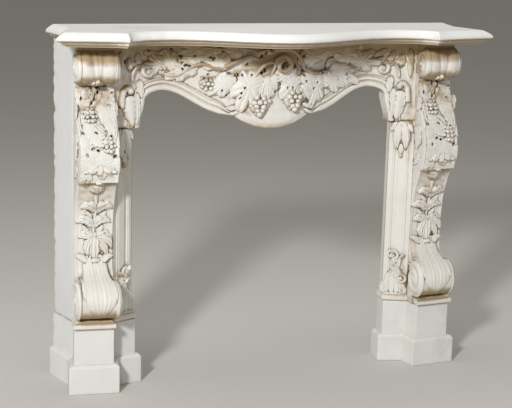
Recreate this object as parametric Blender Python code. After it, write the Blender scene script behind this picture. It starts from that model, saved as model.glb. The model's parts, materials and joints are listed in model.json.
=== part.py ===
"""Carved marble fireplace mantel with a serpentine shelf and an arched vine frieze.

Metres, +Z up, the front faces -Y. The floor is Z = 0 and X = 0 is the line of symmetry.
Plans are written as (x, d), where d is the distance out from the wall. All pieces hang
from an empty on the wall line, half the depth behind the middle of the bounding box.
"""
import math

import bmesh
import bpy
from mathutils import Matrix, Vector

# Overall sizes
HEIGHT = 1.100
WIDTH = 1.376
DEPTH = 0.380
JOINT_GAP = 0.0003

# Shelf: nose line in plan and the moulded edge
SHELF_THICKNESS = 0.042
SHELF_BOW = 0.125
SHELF_WAIST_X = 0.360
SHELF_RISE = 0.034
CORNER_STEP_X = 0.472
CORNER_STEP = 0.012
CORNER_FRONT = 0.312
CORNER_FALL = 0.041
CORNER_RETURN_DEPTH = 0.128
CORNER_RETURN_IN = 0.043
SHELF_BACK_IN = 0.020
NOSE_OVERHANG = 0.0245
BOW_STEPS = 12

# Jambs, slips and side panels
JAMB_WIDTH = 0.118
JAMB_INSET = 0.077
JAMB_BELLY = 0.229
JAMB_CANT = 0.105
JAMB_TAIL_DEPTH = 0.030
TAIL_CLEARANCE = 0.004
PANEL_LAP = 0.013
JAMB_CAP = 0.0225
VOLUTE_RADIUS = 0.045
VOLUTE_CENTRE_DEPTH = 0.174
FOOT_RADIUS = 0.055
FOOT_CENTRE_DEPTH = 0.197
FOOT_LIFT = 0.007
FOOT_INWARD = 0.012
FOOT_OUTWARD = 0.011
VOLUTE_OUTWARD = 0.007
RIM_WIDTH = 0.018
RIM_HEIGHT = 0.0035
PANEL_DEPTH = 0.127
PANEL_THICKNESS = 0.0195
PANEL_FLARE = 0.034
SLIP_WIDTH = 0.068
SLIP_EDGE_DEPTH = 0.105
SLIP_JAMB_DEPTH = 0.150
SLIP_REVEAL = 0.004
SLIP_THICKNESS = 0.030
SLIP_TOE = 0.006
SLIP_GROOVE = 0.004
SLIP_GROOVES = (0.33, 0.86)

# Plinths and the moulding on them
BASE_HEIGHT = 0.090
PLINTH_HEIGHT = 0.202
BASE_CHAMFER = 0.007
BASE_PROJECTION = 0.0165
MOULDING_HEIGHT = 0.026
MOULDING_PROJECTION = 0.012
DIE_INSET = 0.010
DIE_RETURN = 0.010
DIE_FRONT = 0.028
BLOCK_PROJECTION = 0.055

# Frieze: the arch and the serpentine face
FRIEZE_BACK = 0.080
FRIEZE_SIDE_DEPTH = 0.115
FRIEZE_BOW = 0.060
FRIEZE_END_DEPTH = 0.148
JOINT_HEIGHT = 0.800
LOBE_BOTTOM = 0.793
LOBE_RISE = 0.041
ARCH_RISE = 0.116
ARCH_DROP = 0.026
ARCH_KINK = 0.293
ARCH_APEX = 0.793
ARCH_END = 0.925
BAND_HEIGHT = 0.040
BAND_PROJECTION = 0.007
RELIEF_SINK = 0.005
GRAPE_RADIUS = 0.0088
PANEL_GRAPE_RADIUS = 0.0072
STEM_RADIUS = 0.0055
VINE_RISE = 0.018
PANEL_RISE = 0.009
SLOPE_REACH = 0.012

# Carved jamb face as (share of the height above the plinth, share of JAMB_BELLY)
PANEL_CURVE = (
    (0.856, 0.630), (0.815, 0.660), (0.757, 0.770), (0.699, 0.900),
    (0.648, 0.985), (0.605, 1.000), (0.563, 0.978), (0.529, 0.940),
)
LOWER_CURVE = (
    (0.523, 0.850), (0.477, 0.765), (0.430, 0.690), (0.383, 0.650),
    (0.325, 0.625), (0.266, 0.615), (0.208, 0.630), (0.170, 0.680),
)

# Derived sizes
HALF_WIDTH = WIDTH / 2
SHELF_BOTTOM = HEIGHT - SHELF_THICKNESS
STONE_TOP = SHELF_BOTTOM - JOINT_GAP
JAMB_OUTER = HALF_WIDTH - JAMB_INSET
JAMB_INNER = JAMB_OUTER - JAMB_WIDTH
JAMB_MIDDLE = (JAMB_OUTER + JAMB_INNER) / 2
JAMB_BOTTOM = PLINTH_HEIGHT + JOINT_GAP
JAMB_HEIGHT = STONE_TOP - JAMB_BOTTOM
SLIP_OUTER = JAMB_INNER - JOINT_GAP
SLIP_INNER = SLIP_OUTER - SLIP_WIDTH
FRIEZE_HALF = JAMB_INNER - JOINT_GAP
FRIEZE_SPAN = STONE_TOP - LOBE_BOTTOM
MOULDING_TOP = PLINTH_HEIGHT + MOULDING_HEIGHT
VOLUTE_CENTRE_Z = STONE_TOP - JAMB_CAP - VOLUTE_RADIUS
FOOT_CENTRE_Z = MOULDING_TOP + FOOT_LIFT + FOOT_RADIUS
PANEL_FACE_DEPTH = PANEL_DEPTH + JOINT_GAP

parts = bpy.data.collections.new("fireplace_mantel")
cutters = bpy.data.collections.new("carving")
origin = bpy.data.objects.new("wall_line", None)


def clear_scene():
    """Remove what the file holds and link the two collections."""
    for item in list(bpy.data.objects):
        if item is not origin:
            bpy.data.objects.remove(item, do_unlink=True)
    for collection in (parts, cutters):
        bpy.context.scene.collection.children.link(collection)
    parts.objects.link(origin)
    origin.location = (0, DEPTH / 2, 0)


def stone(name, color, roughness):
    """Return a polished marble material."""
    material = bpy.data.materials.new(name)
    material.use_nodes = True
    shader = material.node_tree.nodes["Principled BSDF"]
    shader.inputs["Base Color"].default_value = (*color, 1)
    shader.inputs["Roughness"].default_value = roughness
    shader.inputs["Metallic"].default_value = 0
    return material


def finish(name, bm, collection, material=None):
    """Turn a bmesh into an object under the wall line."""
    bmesh.ops.recalc_face_normals(bm, faces=bm.faces)
    mesh = bpy.data.meshes.new(name)
    bm.to_mesh(mesh)
    bm.free()
    item = bpy.data.objects.new(name, mesh)
    item.parent = origin
    collection.objects.link(item)
    if material:
        mesh.materials.append(material)
    return item


def loft(bm, rings):
    """Bridge closed rings of points with quads and cap both ends."""
    loops = [[bm.verts.new(point) for point in ring] for ring in rings]
    for lower, upper in zip(loops, loops[1:]):
        count = len(lower)
        for i in range(count):
            j = (i + 1) % count
            bm.faces.new((lower[i], lower[j], upper[j], upper[i]))
    bm.faces.new(reversed(loops[0]))
    bm.faces.new(loops[-1])


def at(x, d, z):
    """Return the point at x, d out from the wall and height z."""
    return Vector((x, -d, z))


def offset_line(points, distances):
    """Move each edge of a closed plan outward by its own distance and mitre the corners."""
    count = len(points)
    area = sum(points[i][0] * points[(i + 1) % count][1] - points[(i + 1) % count][0] * points[i][1]
               for i in range(count))
    turn = 1 if area > 0 else -1
    normals = []
    for i in range(count):
        edge = Vector(points[(i + 1) % count]) - Vector(points[i])
        normals.append(Vector((edge.y, -edge.x)).normalized() * turn)
    moved = []
    for i in range(count):
        before, after = normals[i - 1], normals[i]
        s, t = distances[i - 1], distances[i]
        cross = before.x * after.y - before.y * after.x
        if abs(cross) < 0.02:
            moved.append(Vector(points[i]) + after * t)
            continue
        shift = Vector(((s * after.y - t * before.y) / cross, (t * before.x - s * after.x) / cross))
        moved.append(Vector(points[i]) + shift)
    return moved


def spline(points, steps):
    """Return points on a Catmull-Rom curve through the given ones."""
    result = []
    last = len(points) - 1
    for i in range(last):
        p0, p1 = Vector(points[max(i - 1, 0)]), Vector(points[i])
        p2, p3 = Vector(points[i + 1]), Vector(points[min(i + 2, last)])
        for k in range(steps):
            t = k / steps
            result.append(0.5 * (2 * p1 + (p2 - p0) * t + (2 * p0 - 5 * p1 + 4 * p2 - p3) * t * t
                                 + (3 * p1 - p0 - 3 * p2 + p3) * t ** 3))
    result.append(Vector(points[-1]))
    return result


def value_on(points, key):
    """Interpolate the second value of points that are sorted by a falling first value."""
    if key >= points[0][0]:
        return points[0][1]
    for (k0, v0), (k1, v1) in zip(points, points[1:]):
        if key >= k1:
            return v1 + (v0 - v1) * (key - k1) / (k0 - k1)
    return points[-1][1]


def bow(x, half):
    """Return the serpentine swelling, 1 in the middle and 0 at the waist."""
    return 0.5 + 0.5 * math.cos(math.pi * min(abs(x), half) / half)


# Shelf

def shelf_nose(x):
    """Return how far the shelf's nose stands out from the wall at x."""
    beyond = max(abs(x) - SHELF_WAIST_X, 0) / (CORNER_STEP_X - SHELF_WAIST_X)
    return DEPTH - SHELF_BOW + SHELF_BOW * bow(x, SHELF_WAIST_X) + SHELF_RISE * beyond ** 2


def shelf_plan():
    """Return the closed nose line, starting at the back on the right."""
    right = [
        (HALF_WIDTH - SHELF_BACK_IN, 0),
        (HALF_WIDTH - CORNER_RETURN_IN, CORNER_RETURN_DEPTH),
        (HALF_WIDTH, CORNER_FRONT - CORNER_FALL),
        (CORNER_STEP_X + CORNER_STEP, CORNER_FRONT),
    ]
    right += [(CORNER_STEP_X * (1 - i / BOW_STEPS), shelf_nose(CORNER_STEP_X * (1 - i / BOW_STEPS)))
              for i in range(BOW_STEPS)]
    left = [(-x, d) for x, d in reversed(right)]
    return right + [(0, shelf_nose(0))] + left


def shelf_section():
    """Return (inset from the nose, depth below the top) down the moulded edge."""
    nose = [(NOSE_OVERHANG * (1 - math.sin(a)), SHELF_THICKNESS * 0.42 * (1 - math.cos(a)))
            for a in (math.radians(step) for step in (0, 30, 60, 90))]
    return nose + [
        (0, SHELF_THICKNESS * 0.52), (NOSE_OVERHANG * 0.12, SHELF_THICKNESS * 0.64),
        (NOSE_OVERHANG * 0.5, SHELF_THICKNESS * 0.71), (NOSE_OVERHANG * 0.62, SHELF_THICKNESS * 0.80),
        (NOSE_OVERHANG * 0.95, SHELF_THICKNESS * 0.92), (NOSE_OVERHANG, SHELF_THICKNESS),
    ]


def make_shelf(material):
    """Loft the moulded edge round the nose line; the wall edge stays flat."""
    plan = shelf_plan()
    bm = bmesh.new()
    rings = []
    for inset, below in shelf_section():
        distances = [-inset] * len(plan)
        distances[-1] = 0
        rings.append([at(x, d, HEIGHT - below) for x, d in offset_line(plan, distances)])
    loft(bm, rings)
    return finish("shelf", bm, parts, material)


# Leaves, stems and grapes on a surface

def leaf(bm, surface, start, heading, length, width, lobes=2, rise=0.010, lift=0.0, bend=0.0):
    """Loft a lobed leaf over a surface, its underside sunk into the stone."""
    stations = 2 * lobes + 1
    point = Vector(start)
    rings = []
    for i in range(stations):
        t = i / (stations - 1)
        angle = math.radians(heading + bend * t)
        along = Vector((math.cos(angle), math.sin(angle)))
        across = Vector((-along.y, along.x))
        swell = math.sin(math.pi * (0.12 + 0.80 * t)) ** 0.8
        half = width / 2 * swell * (1.12 if i % 2 else 0.88)
        crest = rise * (0.6 + 0.4 * math.sin(math.pi * t)) + lift * t * t
        ring = []
        for side, height in ((1, -RELIEF_SINK), (0.45, crest), (-0.45, crest), (-1, -RELIEF_SINK)):
            place = point + across * half * side
            ring.append(surface(place.x, place.y, height))
        rings.append(ring)
        point += along * length / (stations - 1)
    loft(bm, rings)


def tube(bm, path, radius, sides=5):
    """Sweep a round section along a path of points, thinner at its end."""
    rings = []
    side = None
    for i, point in enumerate(path):
        ahead = (path[min(i + 1, len(path) - 1)] - path[max(i - 1, 0)]).normalized()
        side = side or ahead.orthogonal().normalized()
        side = (side - ahead * side.dot(ahead)).normalized()
        other = ahead.cross(side)
        size = radius * (1 - 0.35 * i / (len(path) - 1))
        rings.append([point + (side * math.cos(a) + other * math.sin(a)) * size
                      for a in (2 * math.pi * k / sides for k in range(sides))])
    loft(bm, rings)


def stem(bm, surface, points, radius, height, steps=2):
    """Lay a tapering stem over a surface through a few points."""
    path = [surface(p.x, p.y, height) for p in spline(points, steps)]
    tube(bm, path, radius)


def grape(bm, centre, radius):
    """Add one grape."""
    bmesh.ops.create_uvsphere(bm, u_segments=6, v_segments=3, radius=radius,
                              matrix=Matrix.Translation(centre))


def bunch(bm, surface, centre, width, height, rows, radius):
    """Stack rows of grapes that narrow downward on a rounded core."""
    core = surface(*centre, 0)
    stretch = Matrix.Diagonal((width * 0.44, radius * 1.9, height * 0.50, 1))
    bmesh.ops.create_uvsphere(bm, u_segments=8, v_segments=4, radius=1,
                              matrix=Matrix.Translation(core) @ stretch)
    for row, count in enumerate(rows):
        z = centre[1] + height * (0.5 - (row + 0.5) / len(rows))
        for i in range(count):
            share = (i + 0.5) / count - 0.5
            x = centre[0] + share * width * count / max(rows)
            out = radius * (0.4 + 0.7 * math.cos(math.pi * share) * (1 - 0.12 * row))
            grape(bm, surface(x, z, out), radius)


def scroll(bm, surface, centre, radius, thickness, turns=1.4, start=0.0, hand=1):
    """Lay a curl on a surface, its inner end rising to a bead."""
    steps = 9
    path = []
    for i in range(steps + 1):
        t = i / steps
        angle = math.radians(start) + hand * 2 * math.pi * turns * t
        reach = radius * (1 - 0.72 * t)
        path.append(surface(centre[0] + reach * math.cos(angle), centre[1] + reach * math.sin(angle),
                            thickness * (0.3 + 0.9 * t)))
    tube(bm, path, thickness)


def carve(item, bm, name):
    """Join carved bodies to a piece with a live union."""
    relief = finish(name, bm, cutters)
    relief.hide_render = True
    relief.display_type = "WIRE"
    relief.hide_set(True)
    union = item.modifiers.new("carving", "BOOLEAN")
    union.operation = "UNION"
    union.solver = "EXACT"
    union.use_self = True
    union.object = relief


# Frieze

def arch_edge(x):
    """Return the height of the frieze's lower edge between the arch ends."""
    x = abs(x)
    kink = ARCH_KINK * SLIP_INNER
    apex = ARCH_APEX * SLIP_INNER
    end = ARCH_END * SLIP_INNER
    top = LOBE_BOTTOM + ARCH_RISE
    if x <= kink:
        radius = (kink ** 2 + LOBE_RISE ** 2) / (2 * LOBE_RISE)
        return LOBE_BOTTOM + radius - math.sqrt(radius ** 2 - x ** 2)
    if x <= apex:
        t = ((x - kink) / (apex - kink)) ** 1.15
        low = LOBE_BOTTOM + LOBE_RISE
        return low + (top - low) * (0.5 - 0.5 * math.cos(math.pi * t))
    t = min((x - apex) / (end - apex), 1)
    return top - ARCH_DROP * (1 - math.sqrt(1 - t * t))


def frieze_face(x):
    """Return how far the ground of the frieze stands out from the wall."""
    waist = ARCH_APEX * SLIP_INNER
    beyond = max(abs(x) - waist, 0) / (FRIEZE_HALF - waist)
    return (FRIEZE_SIDE_DEPTH - BAND_PROJECTION + FRIEZE_BOW * bow(x, waist)
            + (FRIEZE_END_DEPTH - FRIEZE_SIDE_DEPTH) * beyond)


def frieze_surface(x, z, height):
    """Return the point at a height above the frieze's ground."""
    slope = (frieze_face(x + 0.002) - frieze_face(x - 0.002)) / 0.004
    normal = Vector((-slope, 1)).normalized()
    return at(x + normal.x * height, frieze_face(x) + normal.y * height, z)


def frieze_edge_stations():
    """Return (x, lower edge height) from the middle to the right end of the block."""
    kink = ARCH_KINK * SLIP_INNER
    apex = ARCH_APEX * SLIP_INNER
    end = ARCH_END * SLIP_INNER
    stations = [kink * i / 4 for i in range(5)]
    stations += [kink + (apex - kink) * i / 6 for i in range(1, 7)]
    stations += [apex + (end - apex) * i for i in (0.50, 0.82, 1.0)]
    edge = [(x, arch_edge(x)) for x in stations]
    foot = SLIP_INNER - 0.015
    edge += [((end + foot) / 2 - 0.001, (edge[-1][1] + JOINT_HEIGHT) / 2), (foot, JOINT_HEIGHT)]
    edge += [((foot + FRIEZE_HALF) / 2, JOINT_HEIGHT), (FRIEZE_HALF, JOINT_HEIGHT)]
    return edge


def frieze_block():
    """Loft the plain arched block with its serpentine face."""
    right = frieze_edge_stations()
    edge = [(-x, z) for x, z in reversed(right[1:])] + right
    bm = bmesh.new()
    rings = []
    for x, z in edge:
        face = frieze_face(x)
        rings.append([at(x, FRIEZE_BACK, z), at(x, FRIEZE_BACK, STONE_TOP), at(x, face, STONE_TOP),
                      at(x, face, z)])
    loft(bm, rings)
    return bm


def arch_band(bm, side):
    """Sweep the two-step moulding from the middle lobe over the arch and down to the joint."""
    right = frieze_edge_stations()
    start = next(i for i, (x, _) in enumerate(right) if x > ARCH_KINK * SLIP_INNER - 0.001)
    path = [Vector(p) for p in right[start:-2]]
    levels = ((0.02, -RELIEF_SINK), (0.02, BAND_PROJECTION), (0.42, BAND_PROJECTION * 1.1),
              (0.50, BAND_PROJECTION * 0.3), (0.60, BAND_PROJECTION), (1.0, BAND_PROJECTION * 0.8),
              (1.0, -RELIEF_SINK))
    rings = []
    for i, point in enumerate(path):
        ahead = (path[min(i + 1, len(path) - 1)] - path[max(i - 1, 0)]).normalized()
        inward = Vector((-ahead.y, ahead.x))
        if i == len(path) - 1:
            inward = Vector((1, 0))
        ring = []
        for share, height in levels:
            place = point + inward * share * BAND_HEIGHT
            ring.append(frieze_surface(side * place.x, max(place.y, JOINT_HEIGHT + 0.001), height))
        rings.append(ring)
    loft(bm, rings)


def on_frieze(x, z):
    """Return a place given as shares of the half span and of the height over the lobe."""
    return (x * FRIEZE_HALF, LOBE_BOTTOM + z * FRIEZE_SPAN)


def vine(bm):
    """Carve the leaves, bunches, stems and the ring tendril in the middle."""
    unit = FRIEZE_SPAN
    leaves = (
        (-0.76, 0.84, 186, 0.30, 0.24), (-0.58, 0.74, 190, 0.34, 0.26), (-0.43, 0.83, 178, 0.36, 0.28),
        (-0.27, 0.76, 165, 0.24, 0.20), (-0.24, 0.56, 218, 0.26, 0.24), (-0.12, 0.66, 247, 0.46, 0.38),
        (-0.02, 0.62, 266, 0.22, 0.24), (0.18, 0.70, 205, 0.38, 0.28), (0.21, 0.82, 357, 0.42, 0.28),
        (0.24, 0.66, 275, 0.30, 0.22), (0.36, 0.62, 245, 0.30, 0.20), (0.38, 0.56, 352, 0.24, 0.18),
        (0.42, 0.75, 322, 0.36, 0.24), (0.50, 0.80, 8, 0.30, 0.22), (0.64, 0.78, 350, 0.34, 0.24),
    )
    for x, z, heading, length, width in leaves:
        leaf(bm, frieze_surface, on_frieze(x, z), heading, length * unit, width * unit,
             lobes=3 if length > 0.4 else 2, rise=VINE_RISE, lift=VINE_RISE / 3)
    for x, z, wide, tall, rows in ((-0.085, 0.275, 0.24, 0.27, (3, 3, 2, 1)),
                                   (0.130, 0.315, 0.25, 0.26, (3, 3, 2, 1)),
                                   (-0.400, 0.520, 0.18, 0.14, (2, 2))):
        bunch(bm, frieze_surface, on_frieze(x, z), wide * unit, tall * unit, rows, GRAPE_RADIUS)
    stems = (
        ((-0.60, 0.61), (-0.43, 0.74), (-0.30, 0.70), (-0.23, 0.79), (-0.10, 0.80)),
        ((-0.12, 0.88), (0.06, 0.90), (0.17, 0.78), (0.25, 0.65), (0.37, 0.66), (0.43, 0.76)),
    )
    for route in stems:
        stem(bm, frieze_surface, [on_frieze(*p) for p in route], STEM_RADIUS, STEM_RADIUS * 2.2)
    ring_tendril(bm)


def ring_tendril(bm):
    """Carve the free curl above the middle and the loop beside it."""
    centre = on_frieze(0.045, 0.765)
    bmesh.ops.create_uvsphere(bm, u_segments=8, v_segments=5, radius=0.010,
                              matrix=Matrix.Translation(frieze_surface(*centre, 0.004)))
    scroll(bm, frieze_surface, centre, 0.026, 0.0062, turns=1.15, start=150, hand=-1)
    loop = ((-0.13, 0.60), (-0.09, 0.72), (-0.03, 0.78), (-0.01, 0.68), (-0.03, 0.60))
    stem(bm, frieze_surface, [on_frieze(*p) for p in loop], 0.006, 0.010)


def frieze_end(bm, side):
    """Carve the scroll, curl and hanging leaves over one end of the frieze."""
    unit = FRIEZE_SPAN
    for x, z, heading, length, width in ((0.925, 0.44, 262, 0.34, 0.15), (0.80, 0.36, 283, 0.30, 0.11),
                                         (0.895, 0.78, 280, 0.28, 0.09), (0.28, 0.26, 160, 0.20, 0.08)):
        turned = heading if side > 0 else 180 - heading
        leaf(bm, frieze_surface, on_frieze(side * x, z), turned, length * unit, width * unit,
             rise=0.010)
    scroll(bm, frieze_surface, on_frieze(side * 0.79, 0.655), 0.017, 0.0045, 1.3, 90, -side)
    scroll(bm, frieze_surface, on_frieze(side * 0.905, 0.450), 0.020, 0.0050, 1.3, 90, -side)


def make_frieze(material):
    """Build the carved, arched frieze from one block."""
    item = finish("frieze", frieze_block(), parts, material)
    bm = bmesh.new()
    vine(bm)
    for side in (-1, 1):
        arch_band(bm, side)
        frieze_end(bm, side)
    carve(item, bm, "vine_relief")
    return item


# Jambs

def jamb_height(share):
    """Return the height at a share of the jamb."""
    return JAMB_BOTTOM + share * JAMB_HEIGHT


def jamb_profile():
    """Return (z, d) down the front of a jamb, from the shelf to the base moulding."""
    behind = PANEL_CURVE[0][1] * JAMB_BELLY
    profile = [(STONE_TOP, VOLUTE_CENTRE_DEPTH), (STONE_TOP - JAMB_CAP * 0.85, VOLUTE_CENTRE_DEPTH)]
    for step in (80, 45, 15, -15, -45, -76):
        a = math.radians(step)
        profile.append((VOLUTE_CENTRE_Z + VOLUTE_RADIUS * math.sin(a),
                        VOLUTE_CENTRE_DEPTH + VOLUTE_RADIUS * math.cos(a)))
    profile.append((VOLUTE_CENTRE_Z - VOLUTE_RADIUS * 1.12, behind * 1.02))
    panel = [(jamb_height(z), d * JAMB_BELLY) for z, d in PANEL_CURVE + LOWER_CURVE]
    profile += panel
    for step in (128, 90, 54, 18, -18, -54, -90):
        a = math.radians(step)
        profile.append((FOOT_CENTRE_Z + FOOT_RADIUS * math.sin(a),
                        FOOT_CENTRE_DEPTH + FOOT_RADIUS * math.cos(a)))
    profile.append((MOULDING_TOP - 0.004, FOOT_CENTRE_DEPTH - FOOT_RADIUS * 0.3))
    return sorted(profile, reverse=True)


JAMB_FRONT = jamb_profile()


def jamb_surface(side):
    """Return a function for points over a jamb's front: offset across, height, height above."""
    def point(a, z, height):
        above = value_on(JAMB_FRONT, z + SLOPE_REACH)
        slope = (above - value_on(JAMB_FRONT, z - SLOPE_REACH)) / (2 * SLOPE_REACH)
        slope = max(min(slope, 1.0), -1.0)
        normal = Vector((1, -slope)).normalized()
        d = value_on(JAMB_FRONT, z) - JAMB_CANT * side * a
        return at(side * JAMB_MIDDLE + a, d + normal.x * height, z + normal.y * height)
    return point


def cant(bm, side):
    """Turn the fronts a little outward by drawing the inner edge forward."""
    for vert in bm.verts:
        if -vert.co.y > PANEL_FACE_DEPTH + 0.002:
            vert.co.y += JAMB_CANT * (side * vert.co.x - JAMB_MIDDLE)


def jamb_block(side):
    """Extrude the side outline of the jamb and give it a narrower tail behind the panel."""
    bm = bmesh.new()
    outline = JAMB_FRONT + [(JAMB_BOTTOM, JAMB_FRONT[-1][1]), (JAMB_BOTTOM, PANEL_FACE_DEPTH),
                            (STONE_TOP, PANEL_FACE_DEPTH)]
    loft(bm, [[at(side * x, d, z) for z, d in outline] for x in (JAMB_INNER, JAMB_OUTER)])
    cant(bm, side)
    return bm


def box(bm, low, high):
    """Add a box between two corners."""
    size = Vector(high) - Vector(low)
    place = Matrix.Translation((Vector(high) + Vector(low)) / 2) @ Matrix.Diagonal((*size, 1))
    bmesh.ops.create_cube(bm, size=1, matrix=place)


def jamb_tail(bm, side):
    """Add the rough back of the block, clear of the side panel and the slip."""
    inner = JAMB_INNER + TAIL_CLEARANCE
    outer = JAMB_OUTER - PANEL_THICKNESS - TAIL_CLEARANCE
    low_x, high_x = sorted((side * inner, side * outer))
    box(bm, (low_x, -PANEL_FACE_DEPTH - 0.010, JAMB_BOTTOM),
        (high_x, -JAMB_TAIL_DEPTH, STONE_TOP))


def disc(bm, side, start, end, centre, radius, sides=12):
    """Add a disc on a crosswise axis between two distances from the jamb's inner face."""
    middle = (start + end) / 2
    d = centre[0] - JAMB_CANT * (middle - JAMB_WIDTH / 2)
    place = Matrix.Translation(at(side * (JAMB_INNER + middle), d, centre[1]))
    place = place @ Matrix.Rotation(math.radians(90), 4, "Y")
    verts = bmesh.ops.create_cone(bm, cap_ends=True, segments=sides, radius1=radius, radius2=radius,
                                  depth=end - start, matrix=place)["verts"]
    faces = {face for vert in verts for face in vert.link_faces}
    edges = {edge for vert in verts for edge in vert.link_edges}
    cut = bmesh.ops.bisect_plane(bm, geom=[*verts, *edges, *faces], clear_outer=True,
                                 plane_co=at(0, PANEL_FACE_DEPTH, 0), plane_no=(0, 1, 0))["geom_cut"]
    rim_edges = [item for item in cut if isinstance(item, bmesh.types.BMEdge)]
    if rim_edges:
        bmesh.ops.holes_fill(bm, edges=rim_edges)


def jamb_scrolls(bm, side):
    """Add the rims and eyes of the top volute and the rims of the foot scroll."""
    top = (VOLUTE_CENTRE_DEPTH, VOLUTE_CENTRE_Z)
    foot = (FOOT_CENTRE_DEPTH, FOOT_CENTRE_Z)
    outer = JAMB_WIDTH + VOLUTE_OUTWARD
    rim = VOLUTE_RADIUS + RIM_HEIGHT
    disc(bm, side, JOINT_GAP, RIM_WIDTH, top, rim)
    disc(bm, side, JAMB_WIDTH / 2 - RIM_WIDTH / 4, JAMB_WIDTH / 2 + RIM_WIDTH / 4, top, rim)
    disc(bm, side, outer - RIM_WIDTH, outer, top, rim)
    disc(bm, side, outer - RIM_WIDTH / 2, outer + 0.004, top, VOLUTE_RADIUS * 0.40, 8)
    disc(bm, side, FOOT_INWARD, FOOT_INWARD + RIM_WIDTH, foot, FOOT_RADIUS + RIM_HEIGHT)
    outer = JAMB_WIDTH + FOOT_OUTWARD
    disc(bm, side, outer - RIM_WIDTH * 1.5, outer, foot, FOOT_RADIUS + RIM_HEIGHT)


def jamb_vine(bm, side):
    """Carve the grape panel, the flower, the husks and the leaf over the foot."""
    surface = jamb_surface(side)
    wide = JAMB_WIDTH

    def place(a, z):
        return (a * wide, jamb_height(z))

    for a, z in ((-0.15, 0.755), (0.17, 0.664)):
        bunch(bm, surface, place(a, z), wide * 0.38, 0.048, (3, 2, 1), PANEL_GRAPE_RADIUS)
    leaves = (
        (0.12, 0.850, 305, 0.60, 0.36), (-0.06, 0.835, 225, 0.46, 0.30), (0.25, 0.750, 285, 0.44, 0.28),
        (-0.20, 0.700, 300, 0.50, 0.34), (0.00, 0.640, 245, 0.42, 0.32), (0.05, 0.615, 290, 0.40, 0.28),
    )
    for a, z, heading, length, width in leaves:
        leaf(bm, surface, place(a, z), heading, length * wide, width * wide, rise=PANEL_RISE)
    for z in (0.440, 0.375, 0.320):
        for hand in (-1, 1):
            leaf(bm, surface, place(hand * 0.03, z), 90 - hand * 50, 0.46 * wide, 0.20 * wide,
                 rise=PANEL_RISE, bend=hand * 20)
    leaf(bm, surface, place(0, 0.345), 270, 0.80 * wide, 0.40 * wide, rise=PANEL_RISE, lift=0.010)
    for hand, top, length in ((-1, 0.190, 0.92), (0, 0.208, 1.06), (1, 0.190, 0.92)):
        leaf(bm, surface, place(hand * 0.22, top), 270 + hand * 12, length * wide, 0.30 * wide,
             rise=PANEL_RISE - 0.002 * abs(hand))
    flower(bm, surface, place(0, 0.507))


def flower(bm, surface, centre):
    """Carve the round flower under the ledge."""
    top = surface(centre[0], centre[1], 0.006)
    place = Matrix.Translation(top) @ Matrix.Rotation(math.radians(60), 4, "X")
    bmesh.ops.create_uvsphere(bm, u_segments=10, v_segments=4, radius=0.021,
                              matrix=place @ Matrix.Diagonal((1, 1, 0.6, 1)))
    grape(bm, surface(centre[0], centre[1], 0.019), 0.0055)


def block_front(x):
    """Return how far the face of a plinth block stands out from the wall."""
    return SLIP_JAMB_DEPTH + BLOCK_PROJECTION - JAMB_CANT * (abs(x) - JAMB_MIDDLE)


def moulded(bm, plan, reach):
    """Loft a rounded moulding over a plan whose marked edges stand out."""
    levels = ((0.0, -0.4), (0.2, 0.0), (0.62, 0.0), (0.86, -0.35), (1.0, -0.9))
    rings = []
    for share, inset in levels:
        distances = [inset * MOULDING_PROJECTION if out else 0 for out in reach]
        z = JAMB_BOTTOM + share * (MOULDING_TOP - JAMB_BOTTOM)
        rings.append([at(p[0], p[1], z) for p in offset_line(plan, distances)])
    loft(bm, rings)


def jamb_moulding(bm, side):
    """Add the half-round moulding that the foot scroll stands on."""
    inner = JAMB_INNER + DIE_INSET * 0.7
    outer = JAMB_OUTER + DIE_INSET * 1.65
    plan = [(side * inner, PANEL_FACE_DEPTH), (side * inner, block_front(inner) + MOULDING_PROJECTION),
            (side * outer, block_front(outer) + MOULDING_PROJECTION),
            (side * (outer - DIE_RETURN), PANEL_FACE_DEPTH)]
    moulded(bm, plan, (True, True, True, False))


def make_jamb(side, name, material):
    """Build one carved jamb with its tail."""
    item = finish(name, jamb_block(side), parts, material)
    bm = bmesh.new()
    jamb_tail(bm, side)
    jamb_scrolls(bm, side)
    jamb_vine(bm, side)
    jamb_moulding(bm, side)
    carve(item, bm, name + "_relief")
    return item


# Slips inside the jambs

def slip_face(x):
    """Return how far a slip's splayed face stands out from the wall."""
    share = (abs(x) - SLIP_INNER) / SLIP_WIDTH
    return SLIP_EDGE_DEPTH + (SLIP_JAMB_DEPTH - SLIP_EDGE_DEPTH) * share


def slip_surface(side):
    """Return a function for points over a slip's face."""
    slope = (SLIP_JAMB_DEPTH - SLIP_EDGE_DEPTH) / SLIP_WIDTH
    normal = Vector((-slope * side, 1)).normalized()

    def point(x, z, height):
        return at(x + normal.x * height, slip_face(x) + normal.y * height, z)
    return point


def slip_plan(side):
    """Return the plan of a slip with its two upright grooves."""
    plan = [(SLIP_INNER + SLIP_REVEAL, SLIP_EDGE_DEPTH - SLIP_THICKNESS), (SLIP_INNER, SLIP_EDGE_DEPTH)]
    for share in SLIP_GROOVES:
        for offset, deep in ((-0.06, 0), (0.0, SLIP_GROOVE), (0.06, 0)):
            x = SLIP_INNER + SLIP_WIDTH * (share + offset)
            plan.append((x, slip_face(x) - deep))
    plan += [(SLIP_OUTER, SLIP_JAMB_DEPTH), (SLIP_OUTER, SLIP_JAMB_DEPTH - SLIP_THICKNESS)]
    return [(side * x, d) for x, d in plan]


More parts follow.
